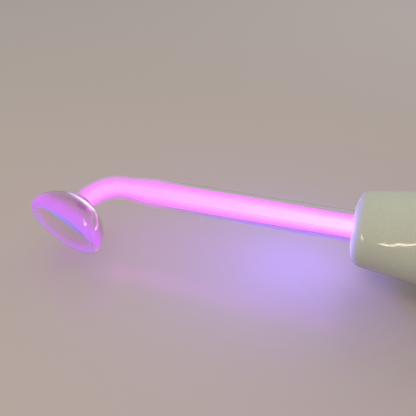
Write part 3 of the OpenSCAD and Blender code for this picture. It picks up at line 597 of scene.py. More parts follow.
def capOutline(s, bush):
    front, back = s["gripEnds"][1], s["capEnd"]
    spigotOut, spigotIn, spigotLength = s["spigot"]
    hole, socket = bush["radius"] + s["fit"], spigotOut + s["fit"]
    wallX = back - s["capWall"]
    skirt = front + spigotLength + s["capGap"]
    return rounded([
        (front, socket, 0),
        (front, s["barrel"], s["seamEdge"]),
        (back, s["barrel"], s["capEdge"]),
        (back, hole, s["mouthEdge"]),
        (wallX, hole, 0),
        (wallX, spigotIn, s["capFillet"]),
        (skirt, spigotIn, 0),
        (skirt, socket, 0),
    ], steps=8)


def screwHeights(s, c):  # of the head's top and of its foot, from the handle's axis
    top = s["barrel"] - c["inset"]
    return top, top - c["head"] + c["shank"]


def screwSinks(s, c):  # countersunk holes for the rear cap's screws
    top, neck = screwHeights(s, c)
    head, shank = c["head"] + c["gap"], c["shank"] + c["gap"]
    over = top + 2  # clear of the barrel
    sinks = []
    for angle in c["angles"]:
        sink = lathe([(c["holeTip"], 0), (c["holeTip"], shank), (neck, shank),
                      (top, head), (over, head + 0.1), (over, 0)], c["sides"])
        turn = Matrix.Rotation(math.radians(angle - 90), 4, "X") @ Matrix.Rotation(-math.pi / 2, 4, "Y")
        place = Matrix.Translation((c["station"] * mm, 0, 0))
        bmesh.ops.transform(sink, verts=sink.verts, matrix=place @ turn)
        sinks.append(sink)
    return sinks


def makeHandle(s, bush, grommet):
    ivory = finishes["ureaMoulding"]
    addTurned("noseShell", noseOutline(s), s["sides"], "ureaMoulding",
              "handle", "moulded_ivory", "nose_shell")
    grip = lathe(gripOutline(s), s["sides"])
    addRails(grip, railSet, s["barrel"] - s["wall"])
    addPiece("gripShell", closeMesh(grip, "gripShell"), ivory, "handle", "moulded_ivory", "grip_shell")
    end, wallX = s["capEnd"], s["capEnd"] - s["capWall"]
    inletFront, inletBack = wallX - 5, end + 1  # past both faces of the end wall
    inlet = rod(inletFront, inletBack, grommet["neck"] + grommet["gap"], 64, grommet["z"])
    cap = cutBy(lathe(capOutline(s, bush), s["sides"]), [inlet, *screwSinks(s, capScrewSet)], "endCap")
    addPiece("endCap", closeMesh(cap, "endCap"), ivory, "handle", "moulded_ivory", "end_cap")
    hole, neck, flange, thick = (grommet[k] for k in ("hole", "neck", "flange", "thick"))
    grommetOutline = rounded([
        (wallX - thick, hole, 0.3), (wallX - thick, flange, 0.6), (wallX, flange, 0.2), (wallX, neck, 0),
        (end, neck, 0), (end, flange, 0.2), (end + thick, flange, 0.9), (end + thick, hole, 0.6)])
    addTurned("cordGrommet", grommetOutline, 72, "blackRubber",
              "handle", "rubber", "cord_grommet", grommet["z"])
    front, back = bush["front"], end + bush["thick"]
    bushOutline = rounded([
        (front, bush["hole"], 0.2), (front, bush["radius"], 0.3), (end, bush["radius"], 0),
        (end, bush["flange"], 0.15), (back, bush["flange"], 0.35), (back, bush["hole"], 0.2)])
    addTurned("shaftBush", bushOutline, 72, "turnedBrass", "handle", "brass", "shaft_bush")


makeHandle(shellSet, bushSet, grommetSet)
print("handle shells made")


# Rear cap screws: one slotted screw, set at each place by Geometry Nodes

def makeScrewMesh(s, c):
    top, neck = screwHeights(s, c)
    body = lathe(rounded([(c["tip"], 0, 0), (c["tip"], c["shank"], 0.15), (neck, c["shank"], 0),
                          (top, c["head"], 0.08), (top, 0, 0)]), c["sides"])
    slot = block(c["slot"], (top, 0, 0))
    screw = closeMesh(cutBy(body, [slot], "screw"), "screw", 25)
    screw.transform(Matrix.Rotation(-math.pi / 2, 4, "Y"))  # drawn along X, turned to stand along Z
    return screw


def screwNodes():
    tree, given, out = newNodes("screwRing", [
        ("Screw", "NodeSocketObject"), ("Count", "NodeSocketInt"), ("Station", "NodeSocketFloat"),
        ("First Angle", "NodeSocketFloat"), ("Material", "NodeSocketMaterial")])
    points = addNode(tree, "GeometryNodePoints", {"Count": given.outputs["Count"]})
    index = addNode(tree, "GeometryNodeInputIndex")
    step = addNode(tree, "ShaderNodeMath", {0: 2 * math.pi, 1: given.outputs["Count"]}, operation="DIVIDE")
    angle = addNode(tree, "ShaderNodeMath", {
        0: index.outputs["Index"], 1: step.outputs["Value"], 2: given.outputs["First Angle"]},
        operation="MULTIPLY_ADD")
    spin = addNode(tree, "ShaderNodeCombineXYZ", {"X": angle.outputs["Value"]})
    place = addNode(tree, "ShaderNodeCombineXYZ", {"X": given.outputs["Station"]})
    moved = addNode(tree, "GeometryNodeSetPosition", {
        "Geometry": points.outputs["Points"], "Position": place.outputs["Vector"]})
    screw = addNode(tree, "GeometryNodeObjectInfo", {"Object": given.outputs["Screw"]})
    turn = addNode(tree, "FunctionNodeEulerToRotation", {"Euler": spin.outputs["Vector"]})
    ring = addNode(tree, "GeometryNodeInstanceOnPoints", {
        "Points": moved.outputs["Geometry"], "Instance": screw.outputs["Geometry"],
        "Rotation": turn.outputs["Rotation"]})
    endNodes(tree, ring.outputs["Instances"], given, out)
    return tree


def makeCapScrews(s, c):
    screw = addObject("screwPattern", makeScrewMesh(s, c))
    holder = addObject("screwHolder", bpy.data.meshes.new("screwHolder"))
    useNodes(holder, screwNodes(), {
        "Screw": screw, "Count": len(c["angles"]), "Station": c["station"] * mm,
        "First Angle": math.radians(c["angles"][0] - 90), "Material": finishes["nickelPlate"]})
    mesh = bake(holder, "endCapScrews")
    bpy.data.objects.remove(screw)
    addPiece("endCapScrews", mesh, finishes["nickelPlate"], "handle", "nickel", "end_cap_screws")


makeCapScrews(shellSet, capScrewSet)
print("rear cap screws made")


# Knob

knobSet = {
    "front": 60.6,
    "height": 14.0,
    "radius": 8.9,
    "skirt": 2.5,  # height of the full-width foot
    "step": 1.0,  # from the skirt's radius to the side's
    "foot": (0.45, 1.0, 0.12),  # curve at the side's foot: start above the skirt, height, width
    "topSide": 5.5,  # plain length of the side below the end
    "flutes": 12,
    "fluteRadius": 8.9 / 4,
    "fluteOut": 0.45,  # of a flute's radius, from the knob's edge to the flute's centre
    "fluteStart": (0.5, 1.3),  # above the skirt, where the flutes begin and where they are full
    "fluteReach": 3.0,  # from the knob's edge
    "shaft": (3.02, 3.0),  # hole's radius, and what is left of the end above it
    "recess": (4.6, 4.3, 0.35),  # radius at its edge and at its floor, depth
    "screwHole": (4.0, 1.55, 2.0),  # place above the front, radius, start from the axis
    "mark": ((2.0, 1.0, 2.4), (0.5, 0.0, 6.2)),  # size, and place from the end's middle
    "sides": 288,
}


def makeKnob(s):
    front, radius = s["front"], s["radius"]
    back, skirt, side = front + s["height"], front + s["skirt"], radius - s["step"]
    fluteCentre = radius + s["fluteRadius"] * s["fluteOut"]
    fluteLow, fluteFull = (skirt + rise for rise in s["fluteStart"])
    pitch = 2 * math.pi / s["flutes"]

    def fluted(x, r, a):
        if x < fluteLow or r < radius - s["fluteReach"]:
            return r
        off = (a + pitch / 2) % pitch - pitch / 2
        across = fluteCentre * math.sin(off)
        if abs(across) >= s["fluteRadius"]:
            return r
        depth = min(1.0, (x - fluteLow) / (fluteFull - fluteLow))  # the flutes run out above the skirt
        near = fluteCentre * math.cos(off) - math.sqrt(s["fluteRadius"] ** 2 - across ** 2)
        return r - depth * max(0.0, r - near)

    footStart, footHeight, footWidth = s["foot"]
    foot = [(skirt + footStart + footHeight * t, side + footWidth * (1 - t) ** 2, 0) for t in shares(4)]
    shaft, crown = s["shaft"]
    recessEdge, recessFloor, recessDepth = s["recess"]
    outline = rounded([
        (front, shaft, 0), (front, radius, 0.4), (skirt, radius, 0.3), *foot,
        (back - s["topSide"], side, 0), (back, side, 1.5), (back, recessEdge, 0.2),
        (back - recessDepth, recessFloor, 0), (back - recessDepth, 0, 0),
        (back - crown, 0, 0), (back - crown, shaft, 0)])
    holePlace, holeRadius, holeStart = s["screwHole"]
    hole = rod(holeStart, radius + 2, holeRadius, 32)
    turn = Matrix.Translation(((front + holePlace) * mm, 0, 0)) @ Matrix.Rotation(math.pi / 2, 4, "Y")
    bmesh.ops.transform(hole, verts=hole.verts, matrix=turn)
    markSize, markPlace = s["mark"]
    mark = block(markSize, (back + markPlace[0], *markPlace[1:]))
    knob = cutBy(lathe(outline, s["sides"], shape=fluted), [hole, mark], "knob")
    addPiece("controlKnob", closeMesh(knob, "controlKnob", 40), finishes["mottledPhenolic"],
             "knob", "brown_phenolic", "knob")


makeKnob(knobSet)
print("knob made")


# Electrode: a blown glass envelope that follows one path, with the glowing gas inside it

glassPath = {
    "stem": 94.5,  # nose face to the start of the bend
    "stemRadius": 6.0,
    "drawn": 16.0,  # length over which the stem is drawn down to the bend's tube
    "bendRadius": 15.0,
    "bendTube": 5.0,
    "bendAngle": 78.5,
    "roll": 68.3,
    "flare": 2.5,  # length over which the tube widens to the neck
    "headRadius": 16.35,
    "headDepth": 11.5,
    "rim": 2.2,
    "neck": 5.6,
    "bead": (0.8, 0.75, 0.6),  # weld ring, half proud of the neck: height, spread, share on the dome
    "wall": 1.2,
    "faceCrown": 0.25,
    "faceRise": 0.024,  # keeps the face's rows apart
    "tip": 0.02,  # radius of the smallest ring
    "shoulder": 12.3,  # nose face to the tail
    "shoulderRun": 1.2,
    "tailRadius": 4.73,
    "tailLength": 20.0,
    "sides": 72,
    "wobble": 0.25,  # of lamp-worked glass
}
wobbleSize = 22.0  # from one bulge of the wobble to the next, mm
bendAngle = math.radians(glassPath["bendAngle"])
bendArc = glassPath["bendRadius"] * bendAngle
domeDepth = glassPath["headDepth"] / math.sqrt(1 - (glassPath["neck"] / glassPath["headRadius"]) ** 2)
headSide = (0.43, -0.41, 0.8)  # side of the head that the tube's light reaches, painted brighter in the head's glass


def pathPoint(g, s):  # a place on the electrode's centre line, s mm from the start of the bend
    turned = min(bendAngle, max(0.0, s / g["bendRadius"]))
    p = Vector((-g["bendRadius"] * math.sin(turned), 0, g["bendRadius"] * (math.cos(turned) - 1)))
    if s <= 0:
        p = Vector((-s, 0, 0))
    elif s > bendArc:
        p += Vector((-math.cos(bendAngle), 0, -math.sin(bendAngle))) * (s - bendArc)
    p = Matrix.Rotation(-math.radians(g["roll"]), 3, "X") @ p
    return p + Vector((noseX - g["stem"], 0, 0))


def headFrame(g, past=0.0):  # a place on the head's axis, past the neck, and the axis's direction
    place = pathPoint(g, bendArc + past)
    return place, (pathPoint(g, bendArc + past + 1) - place).normalized()


def squareTo(along, side):  # the direction of a side, square to an axis
    return (side - along * side.dot(along)).normalized()


def headProfile(g, thin):  # (distance past the neck, radius) from the neck to the middle of the face
    wide, deep, rim = g["headRadius"] - thin, domeDepth - thin, g["rim"] - thin
    first = math.acos((g["neck"] - thin) / wide)
    edge, face = g["headRadius"] - g["rim"], g["headDepth"] + rim
    rows = []
    for t in shares(26):
        a = first * (1 - t)
        rows.append((g["headDepth"] - deep * math.sin(a), wide * math.cos(a)))
    for t in shares(11)[1:-1]:
        a = t * math.pi / 2
        rows.append((g["headDepth"] + rim * math.sin(a), edge + rim * math.cos(a)))
    for t in shares(12):
        r = edge * (1 - t)
        crown = g["faceCrown"] * (1 - (r / edge) ** 2)
        rows.append((face + crown + g["faceRise"] * t, max(r, g["tip"])))
    return rows


def tubeRadius(g, s):  # outside of the glass tube, from the shoulder to the neck
    drawn = between((g["stemRadius"], g["bendTube"]), ramp(s, -g["drawn"], 0.0))
    return drawn + (g["neck"] - g["bendTube"]) * max(0.0, 1 - (bendArc - s) / g["flare"]) ** 2


def envelope(g, thin):  # (s, radius) rows from the tail to the middle of the head's face
    shoulder, tailRadius = g["stem"] + g["shoulder"], g["tailRadius"] - thin
    tailCentre = shoulder + g["tailLength"] - g["tailRadius"]
    height, spread, domeShare = g["bead"] if thin == 0 else (0.0, 1.0, 0.0)
    rows = []
    for t in shares(8)[:-1]:
        a = math.pi / 2 * (1 - t)
        rows.append((-(tailCentre + tailRadius * math.sin(a)), max(g["tip"], tailRadius * math.cos(a))))
    for t in shares(6):
        wider = (g["stemRadius"] - g["tailRadius"]) * ramp(t, 0, 1)
        rows.append((-(shoulder - g["shoulderRun"] * t), tailRadius + wider))
    start = shoulder - g["shoulderRun"]
    for p in [-start * (1 - t) for t in shares(40)[1:]] + [bendArc * t for t in shares(32)[1:]]:
        bead = height * math.exp(-((bendArc - p) / spread) ** 2)
        rows.append((p, tubeRadius(g, p) - thin + bead))
    for t, r in headProfile(g, thin)[1:]:
        bead = height * math.exp(-(t / spread) ** 2)
        rows.append((bendArc + t, r + bead * domeShare))
    return rows


def sweptNodes():
    tree, given, out = newNodes("sweptTube", [
        ("Sides", "NodeSocketInt"), ("Wobble", "NodeSocketFloat"), ("Wobble Size", "NodeSocketFloat"),
        ("Material", "NodeSocketMaterial")])
    curve = addNode(tree, "GeometryNodeMeshToCurve", {"Mesh": given.outputs["Geometry"]})
    radius = addNode(tree, "GeometryNodeInputNamedAttribute", {"Name": "ringRadius"}, data_type="FLOAT")
    ring = addNode(tree, "GeometryNodeCurvePrimitiveCircle", {
        "Resolution": given.outputs["Sides"], "Radius": 1.0})
    tube = addNode(tree, "GeometryNodeCurveToMesh", {
        "Curve": curve.outputs["Curve"], "Profile Curve": ring.outputs["Curve"],
        "Scale": radius.outputs["Attribute"], "Fill Caps": True})
    pitch = addNode(tree, "ShaderNodeMath", {0: 1.0, 1: given.outputs["Wobble Size"]}, operation="DIVIDE")
    waver = addNode(tree, "ShaderNodeTexNoise", {"Scale": pitch.outputs["Value"], "Detail": 1.0})
    centred = addNode(tree, "ShaderNodeMath", {0: waver.outputs["Fac"], 1: 0.5}, operation="SUBTRACT")
    amount = addNode(tree, "ShaderNodeMath", {
        0: centred.outputs["Value"], 1: given.outputs["Wobble"]}, operation="MULTIPLY")
    normal = addNode(tree, "GeometryNodeInputNormal")
    push = addNode(tree, "ShaderNodeVectorMath", {
        0: normal.outputs["Normal"], "Scale": amount.outputs["Value"]}, operation="SCALE")
    moved = addNode(tree, "GeometryNodeSetPosition", {
        "Geometry": tube.outputs["Mesh"], "Offset": push.outputs["Vector"]})
    endNodes(tree, moved.outputs["Geometry"], given, out)
    return tree


tubeTree = sweptNodes()


def tubes(name, places, links, rows, sides, wobble, material):
    # round tubes along linked places; a row's radius, level and cover follow its first value
    mesh = bpy.data.meshes.new(name)
    mesh.from_pydata([place * mm for place in places], links, [])
    for column, label, unit in ((1, "ringRadius", mm), (2, "glowLevel", 1.0), (3, "glowCover", 1.0)):
        values = [row[column] * unit if len(row) > column else 1.0 for row in rows]
        mesh.attributes.new(label, "FLOAT", "POINT").data.foreach_set("value", values)
    line = addObject(name, mesh)
    useNodes(line, tubeTree, {
        "Sides": sides, "Wobble": wobble * mm, "Wobble Size": wobbleSize * mm, "Material": material})
    bm = fromMesh(bake(line, name))
    faceOutward(bm, 1e-8)
    return bm


def sweep(name, g, rows, sides, wobble, material):  # one tube along the electrode's centre line
    links = [(i, i + 1) for i in range(len(rows) - 1)]
    return tubes(name, [pathPoint(g, row[0]) for row in rows], links, rows, sides, wobble, material)


def makeGlassPiece(g):
    clear = finishes["blownGlass"]
    outside, inside = (
        sweep("glass", g, envelope(g, thin), g["sides"], g["wobble"], clear) for thin in (0.0, g["wall"]))
    bmesh.ops.reverse_faces(inside, faces=inside.faces)
    hollow = toMesh(inside, "glassInside")
    outside.from_mesh(hollow)
    bpy.data.meshes.remove(hollow)
    mesh = toMesh(outside, "electrodeGlass")
    glass = addPiece("electrodeGlass", mesh, clear, "electrode", "glass", "electrode_glass")
    glass.visible_shadow = False  # clear glass lets the gas light the table


makeGlassPiece(glassPath)
print("electrode blown")


# Light in the electrode: the gas's glow, and painted light and highlights in the glass; rows are (s, radius,
# level, cover) along its centre line

glowSides = 56


def addGlow(name, mesh):
    addPiece(name, mesh, finishes[name], "electrode", "glass").visible_shadow = False


def sweepGlow(name, g, rows):
    return toMesh(sweep(name, g, rows, glowSides, 0.0, finishes[name]), name)


def boreRadius(g, s):  # inside of the glass tube
    if s < -(g["stem"] + g["shoulder"] - g["shoulderRun"]):
        return g["tailRadius"] - g["wall"]
    return tubeRadius(g, s) - g["wall"]


gasSet = {
    "shells": (("gasSheath", 0.955, 0.55), ("gasMiddle", 0.78, 0.35), ("gasInner", 0.58, 0.35),
               ("gasCore", 0.36, 1.0)),  # name, share of the bore, cover
    "tail": (4.0, 1.0, 0.3),  # gap at the tail's round end, then length and radius of the gas's own end
    "heat": (1.0, 0.1),  # at the nose, at the neck
    "cooling": 0.7,  # power of its fall along the stem
    "fade": (5.0, 12.0),  # length over which the gas fades out at the neck, and what its middle adds to it
    "narrowing": 0.075,  # of the glow towards the nose
}


def gasRows(g, s, share, cover):
    gap, endLength, endRadius = s["tail"]
    tail = -(g["stem"] + g["shoulder"] + g["tailLength"] - g["tailRadius"] - gap)
    fadeStart = bendArc - s["fade"][0] - s["fade"][1] * (1 - share)
    places = [between((tail, fadeStart), t) for t in shares(80)[:-1]]
    places += [between((fadeStart, bendArc), t) for t in shares(12)]
    rows = [(tail - endLength, endRadius, s["heat"][0], cover)]
    for p in places:
        fill = share * (1 - s["narrowing"] * ramp(p, -g["stem"] / 2, -g["stem"]))
        level = between(s["heat"], ramp(p, -g["stem"], 0.0) ** s["cooling"])
        rows.append((p, fill * boreRadius(g, p), level, cover * (1 - ramp(p, fadeStart, bendArc))))
    return rows


def shadeGlow(mesh, change):  # change(place, level, cover) gives a vertex its new level and cover
    levels, covers = (mesh.attributes[label].data for label in ("glowLevel", "glowCover"))
    for vertex in mesh.vertices:
        level, cover = levels[vertex.index], covers[vertex.index]
        level.value, cover.value = change(vertex.co / mm, level.value, cover.value)


# painted reflection of the violet-lit table: a glowing shell in the stem's glass, on its side towards the
# table
stemGlowSet = {
    "depth": 0.6,  # in the glass
    "cover": 0.85,
    "rise": (15.0, 70.0),  # where it starts and where it is full, before the bend
    "end": 2.0,  # before the tail
    "side": (0.0, -0.565, -0.825),  # of the stem, towards the table, where the painted reflection lies
    "width": (0.84, 0.94),  # cosines at its edge and where it is full
}


def stemRows(g, s):
    low, full = s["rise"]
    rows = []
    for t in shares(40):
        p = -between((low, g["stem"] + g["shoulder"] - s["end"]), t)
        rows.append((p, tubeRadius(g, p) - s["depth"], 0.5, s["cover"] * ramp(-p, low, full)))
    return rows


def stemShade(g, s):  # the painted reflection on one side alone
    side = Vector(s["side"]).normalized()

    def change(place, level, cover):
        facing = Vector((0, place.y, place.z)).normalized().dot(side)
        return level, cover * ramp(facing, *s["width"])

    return change


# painted light in the glass of the bend, with painted shade on its outside before the neck
bendGlowSet = {
    "depth": 0.6,  # in the glass
    "cover": 0.09,
    "rise": (30.0, 12.0),  # where it starts and where it is full, before the bend
    "fall": (6.0, 0.5),  # where it starts to fall and where it ends, before the neck
    "shade": (11.0, 0.6),  # painted shade: on the outside of the bend it is dim before the neck: length, cover
    "shadeSide": (0.1, 0.9),  # cosines at the shade's edge and where it is full
}


def bendRows(g, s):  # painted light: the glass of the bend is drawn glowing as if it carries light, so it has no clear margin
    start, full = (-before for before in s["rise"])
    fall, end = (bendArc - before for before in s["fall"])
    rows = []
    for t in shares(40):
        p = between((start, end), t)
        share = ramp(p, start, full) * (1 - ramp(p, fall, end))
        rows.append((p, tubeRadius(g, p) - s["depth"], 0.5, s["cover"] * share))
    return rows


# painted shade: a dimmer, darker glow on the outside of the bend before the neck
def bendShade(g, s):
    neck, along = headFrame(g)
    before = [pathPoint(g, bendArc - k) for k in (1, 2, 3)]
    outer = (2 * before[1] - before[0] - before[2]).normalized()
    length, dim = s["shade"]

    def change(place, level, cover):
        off = place - neck
        facing = squareTo(along, off).dot(outer)
        share = ramp(off.dot(along), -length, 0.0) * ramp(facing, *s["shadeSide"])
        return level * (1 - share), between((cover, dim), share)

    return change


# painted light in the head's glass: brighter towards the lit side, with painted shade on the far side
headGlowSet = {
    "depth": 0.8,  # below the outside of the glass
    "domeEnd": 0.84,  # of the head's depth
    "domeRise": (0.32, 0.82),  # shares of the depth between which the light comes up
    "domeLevels": (0.05, 0.7),
    "domeCovers": (0.28, 0.7),
    "domeSide": (-0.6, 0.4),  # cosines between which the painted light on the dome brightens, towards the head's lit side
    "domeDim": 0.3,  # share of the cover that stays on the other side, in painted shade
    "rimStart": 0.9,  # of the head's radius
    "rim": (0.72, 0.8),  # level, cover
    "faceFall": (0.9, 0.35),  # shares of the radius between which the light goes down
    "faceLevels": (0.72, 0.3),
    "faceCovers": (0.65, 0.05),
    "faceSide": (0.5, -0.5),  # cosines between which the painted light on the face brightens, away from the lit side
    "faceDim": 0.1,
    "faceLift": 0.16,  # added to the face's level there
    "patch": (6.4, -42.0),  # clear place on the dome: past the neck, degrees
    "patchSize": 4.5,  # radius
    "patchShare": 0.8,  # of the glow, taken away
}


def headRows(g, s):  # painted glow along the inside of the head's glass: dim at the neck and face, bright in the rim
    rows = []
    for t, r in headProfile(g, s["depth"]):
        depth, wide = t / (g["headDepth"] + g["rim"]), r / g["headRadius"]
        level, cover = s["rim"]
        if depth < s["domeEnd"]:
            rise = ramp(depth, *s["domeRise"])
            level, cover = between(s["domeLevels"], rise), between(s["domeCovers"], rise)
        elif wide <= s["rimStart"]:
            fall = ramp(wide, *s["faceFall"])
            level, cover = between(s["faceLevels"], fall), between(s["faceCovers"], fall)
        rows.append((bendArc + t, r, level, cover))
    return rows


def domePlace(g, past, degrees, depth):  # in the dome's glass, by the angle from the head's lit side
    neck, along = headFrame(g)
    middle, turn = squareTo(along, Vector(headSide)), math.radians(degrees)
    out = middle * math.cos(turn) + along.cross(middle) * math.sin(turn)
    height = (g["headDepth"] - past) / (domeDepth - depth)
    return neck + along * past + out * ((g["headRadius"] - depth) * math.sqrt(1 - height ** 2))


def headShade(g, s):  # painted shade: less glow on the dome's far side, on the face's other side and in a clear patch
    neck, along = headFrame(g)
    lit = Vector(headSide).normalized()
    patch = domePlace(g, *s["patch"], s["depth"])
    faceStart = g["headDepth"] + 0.5 * g["rim"]

    def change(place, level, cover):
        off = place - neck
        facing = squareTo(along, off).dot(lit)
        if off.dot(along) > faceStart:
            share = ramp(facing, *s["faceSide"])
            level += s["faceLift"] * share
            cover *= between((s["faceDim"], 1.0), share)
        else:
            cover *= between((s["domeDim"], 1.0), ramp(facing, *s["domeSide"]))
        near = (place - patch).length / s["patchSize"]
        return level, cover * (1 - s["patchShare"] * ramp(near, 1.0, 0.5))

    return change


streakSets = {
    # painted highlights: arcs of light in the head's glass, square to the head's axis; lengths in mm
    "shoulderGlow": {
        "past": 2.6,  # the neck
        "reach": 10.55,  # from the head's axis to the middle of the arc
        "curve": 10.55,  # radius of the arc
        "sweep": 48,  # degrees each way from its middle
        "section": (0.75, 0.6),  # half thickness, radial and along the head's axis
        "middle": (0.52, -0.41, 0.75),  # side of the head that the arc's middle is on
        "rise": (0.0, 0.4),  # shares of the arc, from its ends, between which the light comes up
        "covers": (0.0, 1.0),  # at the ends, in the middle
        "white": (0.88, 0.0, -0.47),  # side towards which it is whitest
    },
    "rimGlow": {
        "past": 13.1,
        "reach": 13.95,
        "curve": 13.95,
        "sweep": 180,
        "section": (1.0, 0.5),
        "middle": headSide,
        "rise": (0.53, 0.79),
        "covers": (0.06, 0.9),
        "white": headSide,
    },
    "faceGlow": {
        "past": 13.1,
        "reach": 11.0,
        "curve": 26.0,
        "sweep": 22,
        "section": (1.7, 0.4),
        "middle": (0.59, -0.4, 0.7),
        "rise": (0.0, 0.6),
        "covers": (0.0, 0.95),
        "white": (-0.88, 0.0, 0.47),
    },
}


def streakMesh(name, g, s, steps=72, sides=10):
    # painted light piped along an arc or a whole ring of the head's glass
    axis, along = headFrame(g, s["past"])
    middle, white = (Vector(s[k]).normalized() for k in ("middle", "white"))
    middle = squareTo(along, middle)
    across = along.cross(middle)
    centre = axis + middle * (s["reach"] - s["curve"])
    bm = bmesh.new()
    levels, covers = (bm.verts.layers.float.new(label) for label in ("glowLevel", "glowCover"))
    rings = []
    for k in range(steps + 1):
        t = 2 * k / steps - 1
        angle = math.radians(s["sweep"]) * t
        out = middle * math.cos(angle) + across * math.sin(angle)
        slim = math.sqrt(1 - t * t) if s["sweep"] < 180 else 1.0  # an open arc has pointed ends
        wide, deep = (slim * half for half in s["section"])
        ring = []
        for n in range(sides):
            b = 2 * math.pi * n / sides
            place = centre + out * (s["curve"] + wide * math.cos(b)) + along * deep * math.sin(b)
            vertex = bm.verts.new(place * mm)
            vertex[levels] = 0.5 + 0.5 * out.dot(white)
            vertex[covers] = between(s["covers"], ramp(1 - abs(t), *s["rise"]))
            ring.append(vertex)
        rings.append(ring)
    for here, after in zip(rings, rings[1:]):
        for n in range(sides):
            m = (n + 1) % sides
            bm.faces.new((here[n], here[m], after[m], after[n]))
    return closeMesh(bm, name, 60)


domeLines = [
    # painted highlights in the dome's glass: distance past the neck, degrees from the head's lit side, half
    # thickness, level, cover
    [(1.4, -40.0, 0.4, 1.0, 0.9), (2.9, -46.0, 0.45, 0.6, 0.85), (5.6, -47.7, 0.45, 0.1, 0.8),
     (7.3, -51.0, 0.45, 0.1, 0.8), (9.2, -51.0, 0.5, 0.6, 0.9), (9.9, -51.0, 0.25, 0.9, 0.9)],
    [(9.8, -24.5, 0.2, 0.5, 0.2), (10.7, -29.0, 0.35, 0.6, 0.4), (11.2, -32.0, 0.55, 0.8, 0.9),
     (11.5, -34.0, 0.3, 0.8, 0.8)],
    [(10.4, -95.0, 0.2, 0.5, 0.3), (11.2, -98.0, 0.5, 0.8, 0.9), (11.8, -101.0, 0.55, 0.9, 0.95),
     (12.2, -107.0, 0.25, 0.5, 0.3)],
]
lineDepth = 0.6  # below the outside of the dome's glass


def lineMesh(name, g, lines):
    places, links, rows = [], [], []
    for line in lines:
        first = len(rows)
        for here, after in zip(line, line[1:]):
            for t in shares(6)[:-1]:
                past, degrees, *rest = (between(ends, t) for ends in zip(here, after))
                places.append(domePlace(g, past, degrees, lineDepth))
                rows.append((past, *rest))
        links += [(i, i + 1) for i in range(first, len(rows) - 1)]
    return toMesh(tubes(name, places, links, rows, 12, 0.0, finishes[name]), name)


def makeGas(g):
    for name, share, cover in gasSet["shells"]:
        addGlow(name, sweepGlow(name, g, gasRows(g, gasSet, share, cover)))
    shaded = (("stemGlow", stemRows, stemShade, stemGlowSet), ("bendGlow", bendRows, bendShade, bendGlowSet),
              ("headGlow", headRows, headShade, headGlowSet))
    for name, rows, shade, s in shaded:
        mesh = sweepGlow(name, g, rows(g, s))
        shadeGlow(mesh, shade(g, s))
        addGlow(name, mesh)
    for name, s in streakSets.items():
        addGlow(name, streakMesh(name, g, s))
    addGlow("domeGlow", lineMesh("domeGlow", g, domeLines))


makeGas(glassPath)
print("gas lit")


# Metal cap on the stem's tail

ferruleSet = {
    "wall": 0.7,
    "mouth": (0.15, 0.25),  # rounding inside and outside
    "groove": (2.6, 4.0),  # its two edges, from the mouth
    "grooveDepth": 0.3,
    "grooveSlope": 0.4,
    "grooveEdge": 0.2,
    "end": (1.0, 1.2, 0.4),  # thickness, rounding outside and inside
}


def makeFerrule(s):
    front, back = (p.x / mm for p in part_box("electrode_cap"))
    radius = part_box("electrode_cap")[1].z / mm
    inner, groove = radius - s["wall"], radius - s["grooveDepth"]
    low, high = (front + edge for edge in s["groove"])
    slope, edge = s["grooveSlope"], s["grooveEdge"]
    endWall, endRound, endInside = s["end"]
    outline = rounded([
        (front, inner, s["mouth"][0]), (front, radius, s["mouth"][1]),
        (low, radius, edge), (low + slope, groove, edge), (high - slope, groove, edge), (high, radius, edge),
        (back, radius, endRound), (back, 0, 0), (back - endWall, 0, 0), (back - endWall, inner, endInside)],
        steps=5)
    addTurned("electrodeCap", outline, 96, "nickelPlate", "electrode_plug", "nickel", "electrode_cap")


makeFerrule(ferruleSet)
print("electrode cap made")


# Nodes that keep their own shape take a finish by what they are made of

nodeFinishes = {
    "nickelPlate": ("knob_shaft",),
    "turnedBrass": ("bush_nut", "contact_cup", "terminal_screws"),
    "softIron": ("magnet_yoke", "magnet_core", "reed_post", "reed_clamp", "armature_plate"),
    "brightSteel": ("chassis_screws", "knob_set_screw", "shaft_clip", "guide_bracket"),
    "blueSpringSteel": ("armature_reed",),
    "silverContact": ("fixed_contact", "moving_contact"),
    "tinnedPlate": ("condenser", "condenser_clip"),
    "enamelWire": ("magnet_winding", "secondary_pies"),
    "bareCopper": ("primary_winding",),
    "blackRubber": ("stem_grip_ring",),
    "paperPhenolic": ("coil_former", "coil_bulkhead", "chassis_plate", "magnet_bobbin", "contact_slider"),
    "varnishedPaper": ("coil_sleeve",),
    "whitePorcelain": ("terminal_block",),
    "plasterCement": ("cap_cement",),
}
for name, nodes in nodeFinishes.items():
    for node in nodes:
        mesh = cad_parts[node].data
        mesh.materials.clear()
        mesh.materials.append(finishes[name])
print("inner nodes finished")


# Stage and light

stageSet = {
    "floor": "#b9aea6",
    "floorRoughness": 0.14,
    "floorReach": 6.0,  # from the middle to each edge, m
    "world": "#f4f1ee",
    "worldStrength": 0.53,
}


def makeStage(s):
    reach = s["floorReach"]
    mesh = bpy.data.meshes.new("floor")
    corners = [(x * reach, y * reach, tableZ * mm) for x, y in ((-1, -1), (1, -1), (1, 1), (-1, 1))]
    mesh.from_pydata(corners, [], [(0, 1, 2, 3)])
    floor = addObject("floor", mesh)
    material, tree, shader = newFinish("satinBoard")[:3]
    setInputs(tree, shader, {"Base Color": linear(s["floor"]), "Roughness": s["floorRoughness"]})
    mesh.materials.append(material)
    world = bpy.data.worlds.new("studio")
    scene.world = world
    world.use_nodes = True
    setInputs(world.node_tree, world.node_tree.nodes["Background"], {
        "Color": linear(s["world"]), "Strength": s["worldStrength"]})


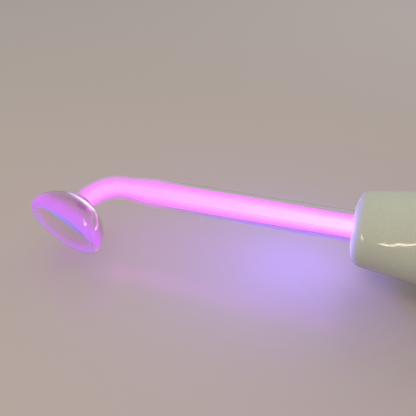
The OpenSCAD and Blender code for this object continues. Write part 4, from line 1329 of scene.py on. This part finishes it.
lampSets = [
    # name, place, aim (mm from the nose's face), width and height in mm, watts, colour, for the mouldings
    # alone and seen in their gloss, lights what isn't glossy
    ("keySoftbox", (-260, -420, 620), (-40, 0, 0), (420, 420), 2.75, "#fff4e6", False, True),
    ("backSoftbox", (200, 520, 420), (-20, 0, 0), (520, 300), 1.0, "#eef0ff", False, True),
    ("stripLight", (-38, -307, 50), (14, -14.5, 6), (6, 132), 0.06, "#ffe6c8", True, True),
    ("glintCard", (-200, -262, 6), (3.2, -13.4, 4.7), (130, 48), 0.16, "#ffeedc", True, False),
]
stripLean = math.radians(-15)  # turn of the lamps seen in the gloss: the strip's reflection runs level
gasLamps = [
    # distance in front of the nose in mm, watts, colour, for the mouldings alone: light of the discharge
    (9, 0.021, "#ecdcff", True),
    (20, 0.055, "#6f56ff", False),
    (46, 0.02, "#6f56ff", False),
    (74, 0.012, "#6f56ff", False),
]
gasLampRadius = 4.0  # mm


def makeLamps(sets):
    mouldings = bpy.data.collections.new("mouldings")  # some lamps light these alone
    for name in ("noseShell", "gripShell", "endCap"):
        mouldings.objects.link(bpy.data.objects[name])
    for name, place, aim, size, watts, colour, shows, lights in sets:
        data = bpy.data.lights.new(name, "AREA")
        data.shape, data.size, data.size_y = "RECTANGLE", size[0] * mm, size[1] * mm
        data.energy, data.color = watts, linear(colour)[:3]
        lamp = addObject(name, data)
        start, end = ((Vector(p) + Vector((noseX, 0, 0))) * mm for p in (place, aim))
        lamp.location = start
        turn = (end - start).to_track_quat("-Z", "Y").to_matrix()
        if shows:
            turn = turn @ Matrix.Rotation(stripLean, 3, "Z")
            lamp.light_linking.receiver_collection = mouldings
        lamp.rotation_euler = turn.to_euler()
        lamp.visible_camera = lamp.visible_transmission = False
        lamp.visible_glossy = shows
        lamp.visible_diffuse = lights
    for k, (ahead, watts, colour, alone) in enumerate(gasLamps):
        data = bpy.data.lights.new("gasLamp%d" % k, "POINT")
        data.energy, data.color, data.shadow_soft_size = watts, linear(colour)[:3], gasLampRadius * mm
        lamp = addObject(data.name, data)
        lamp.location = ((noseX - ahead) * mm, 0, 0)
        if alone:
            lamp.light_linking.receiver_collection = mouldings
        lamp.visible_camera = lamp.visible_glossy = lamp.visible_transmission = False
        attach(lamp, "electrode")  # the gas takes its light with it


makeStage(stageSet)
makeLamps(lampSets)
print("stage and lamps set")
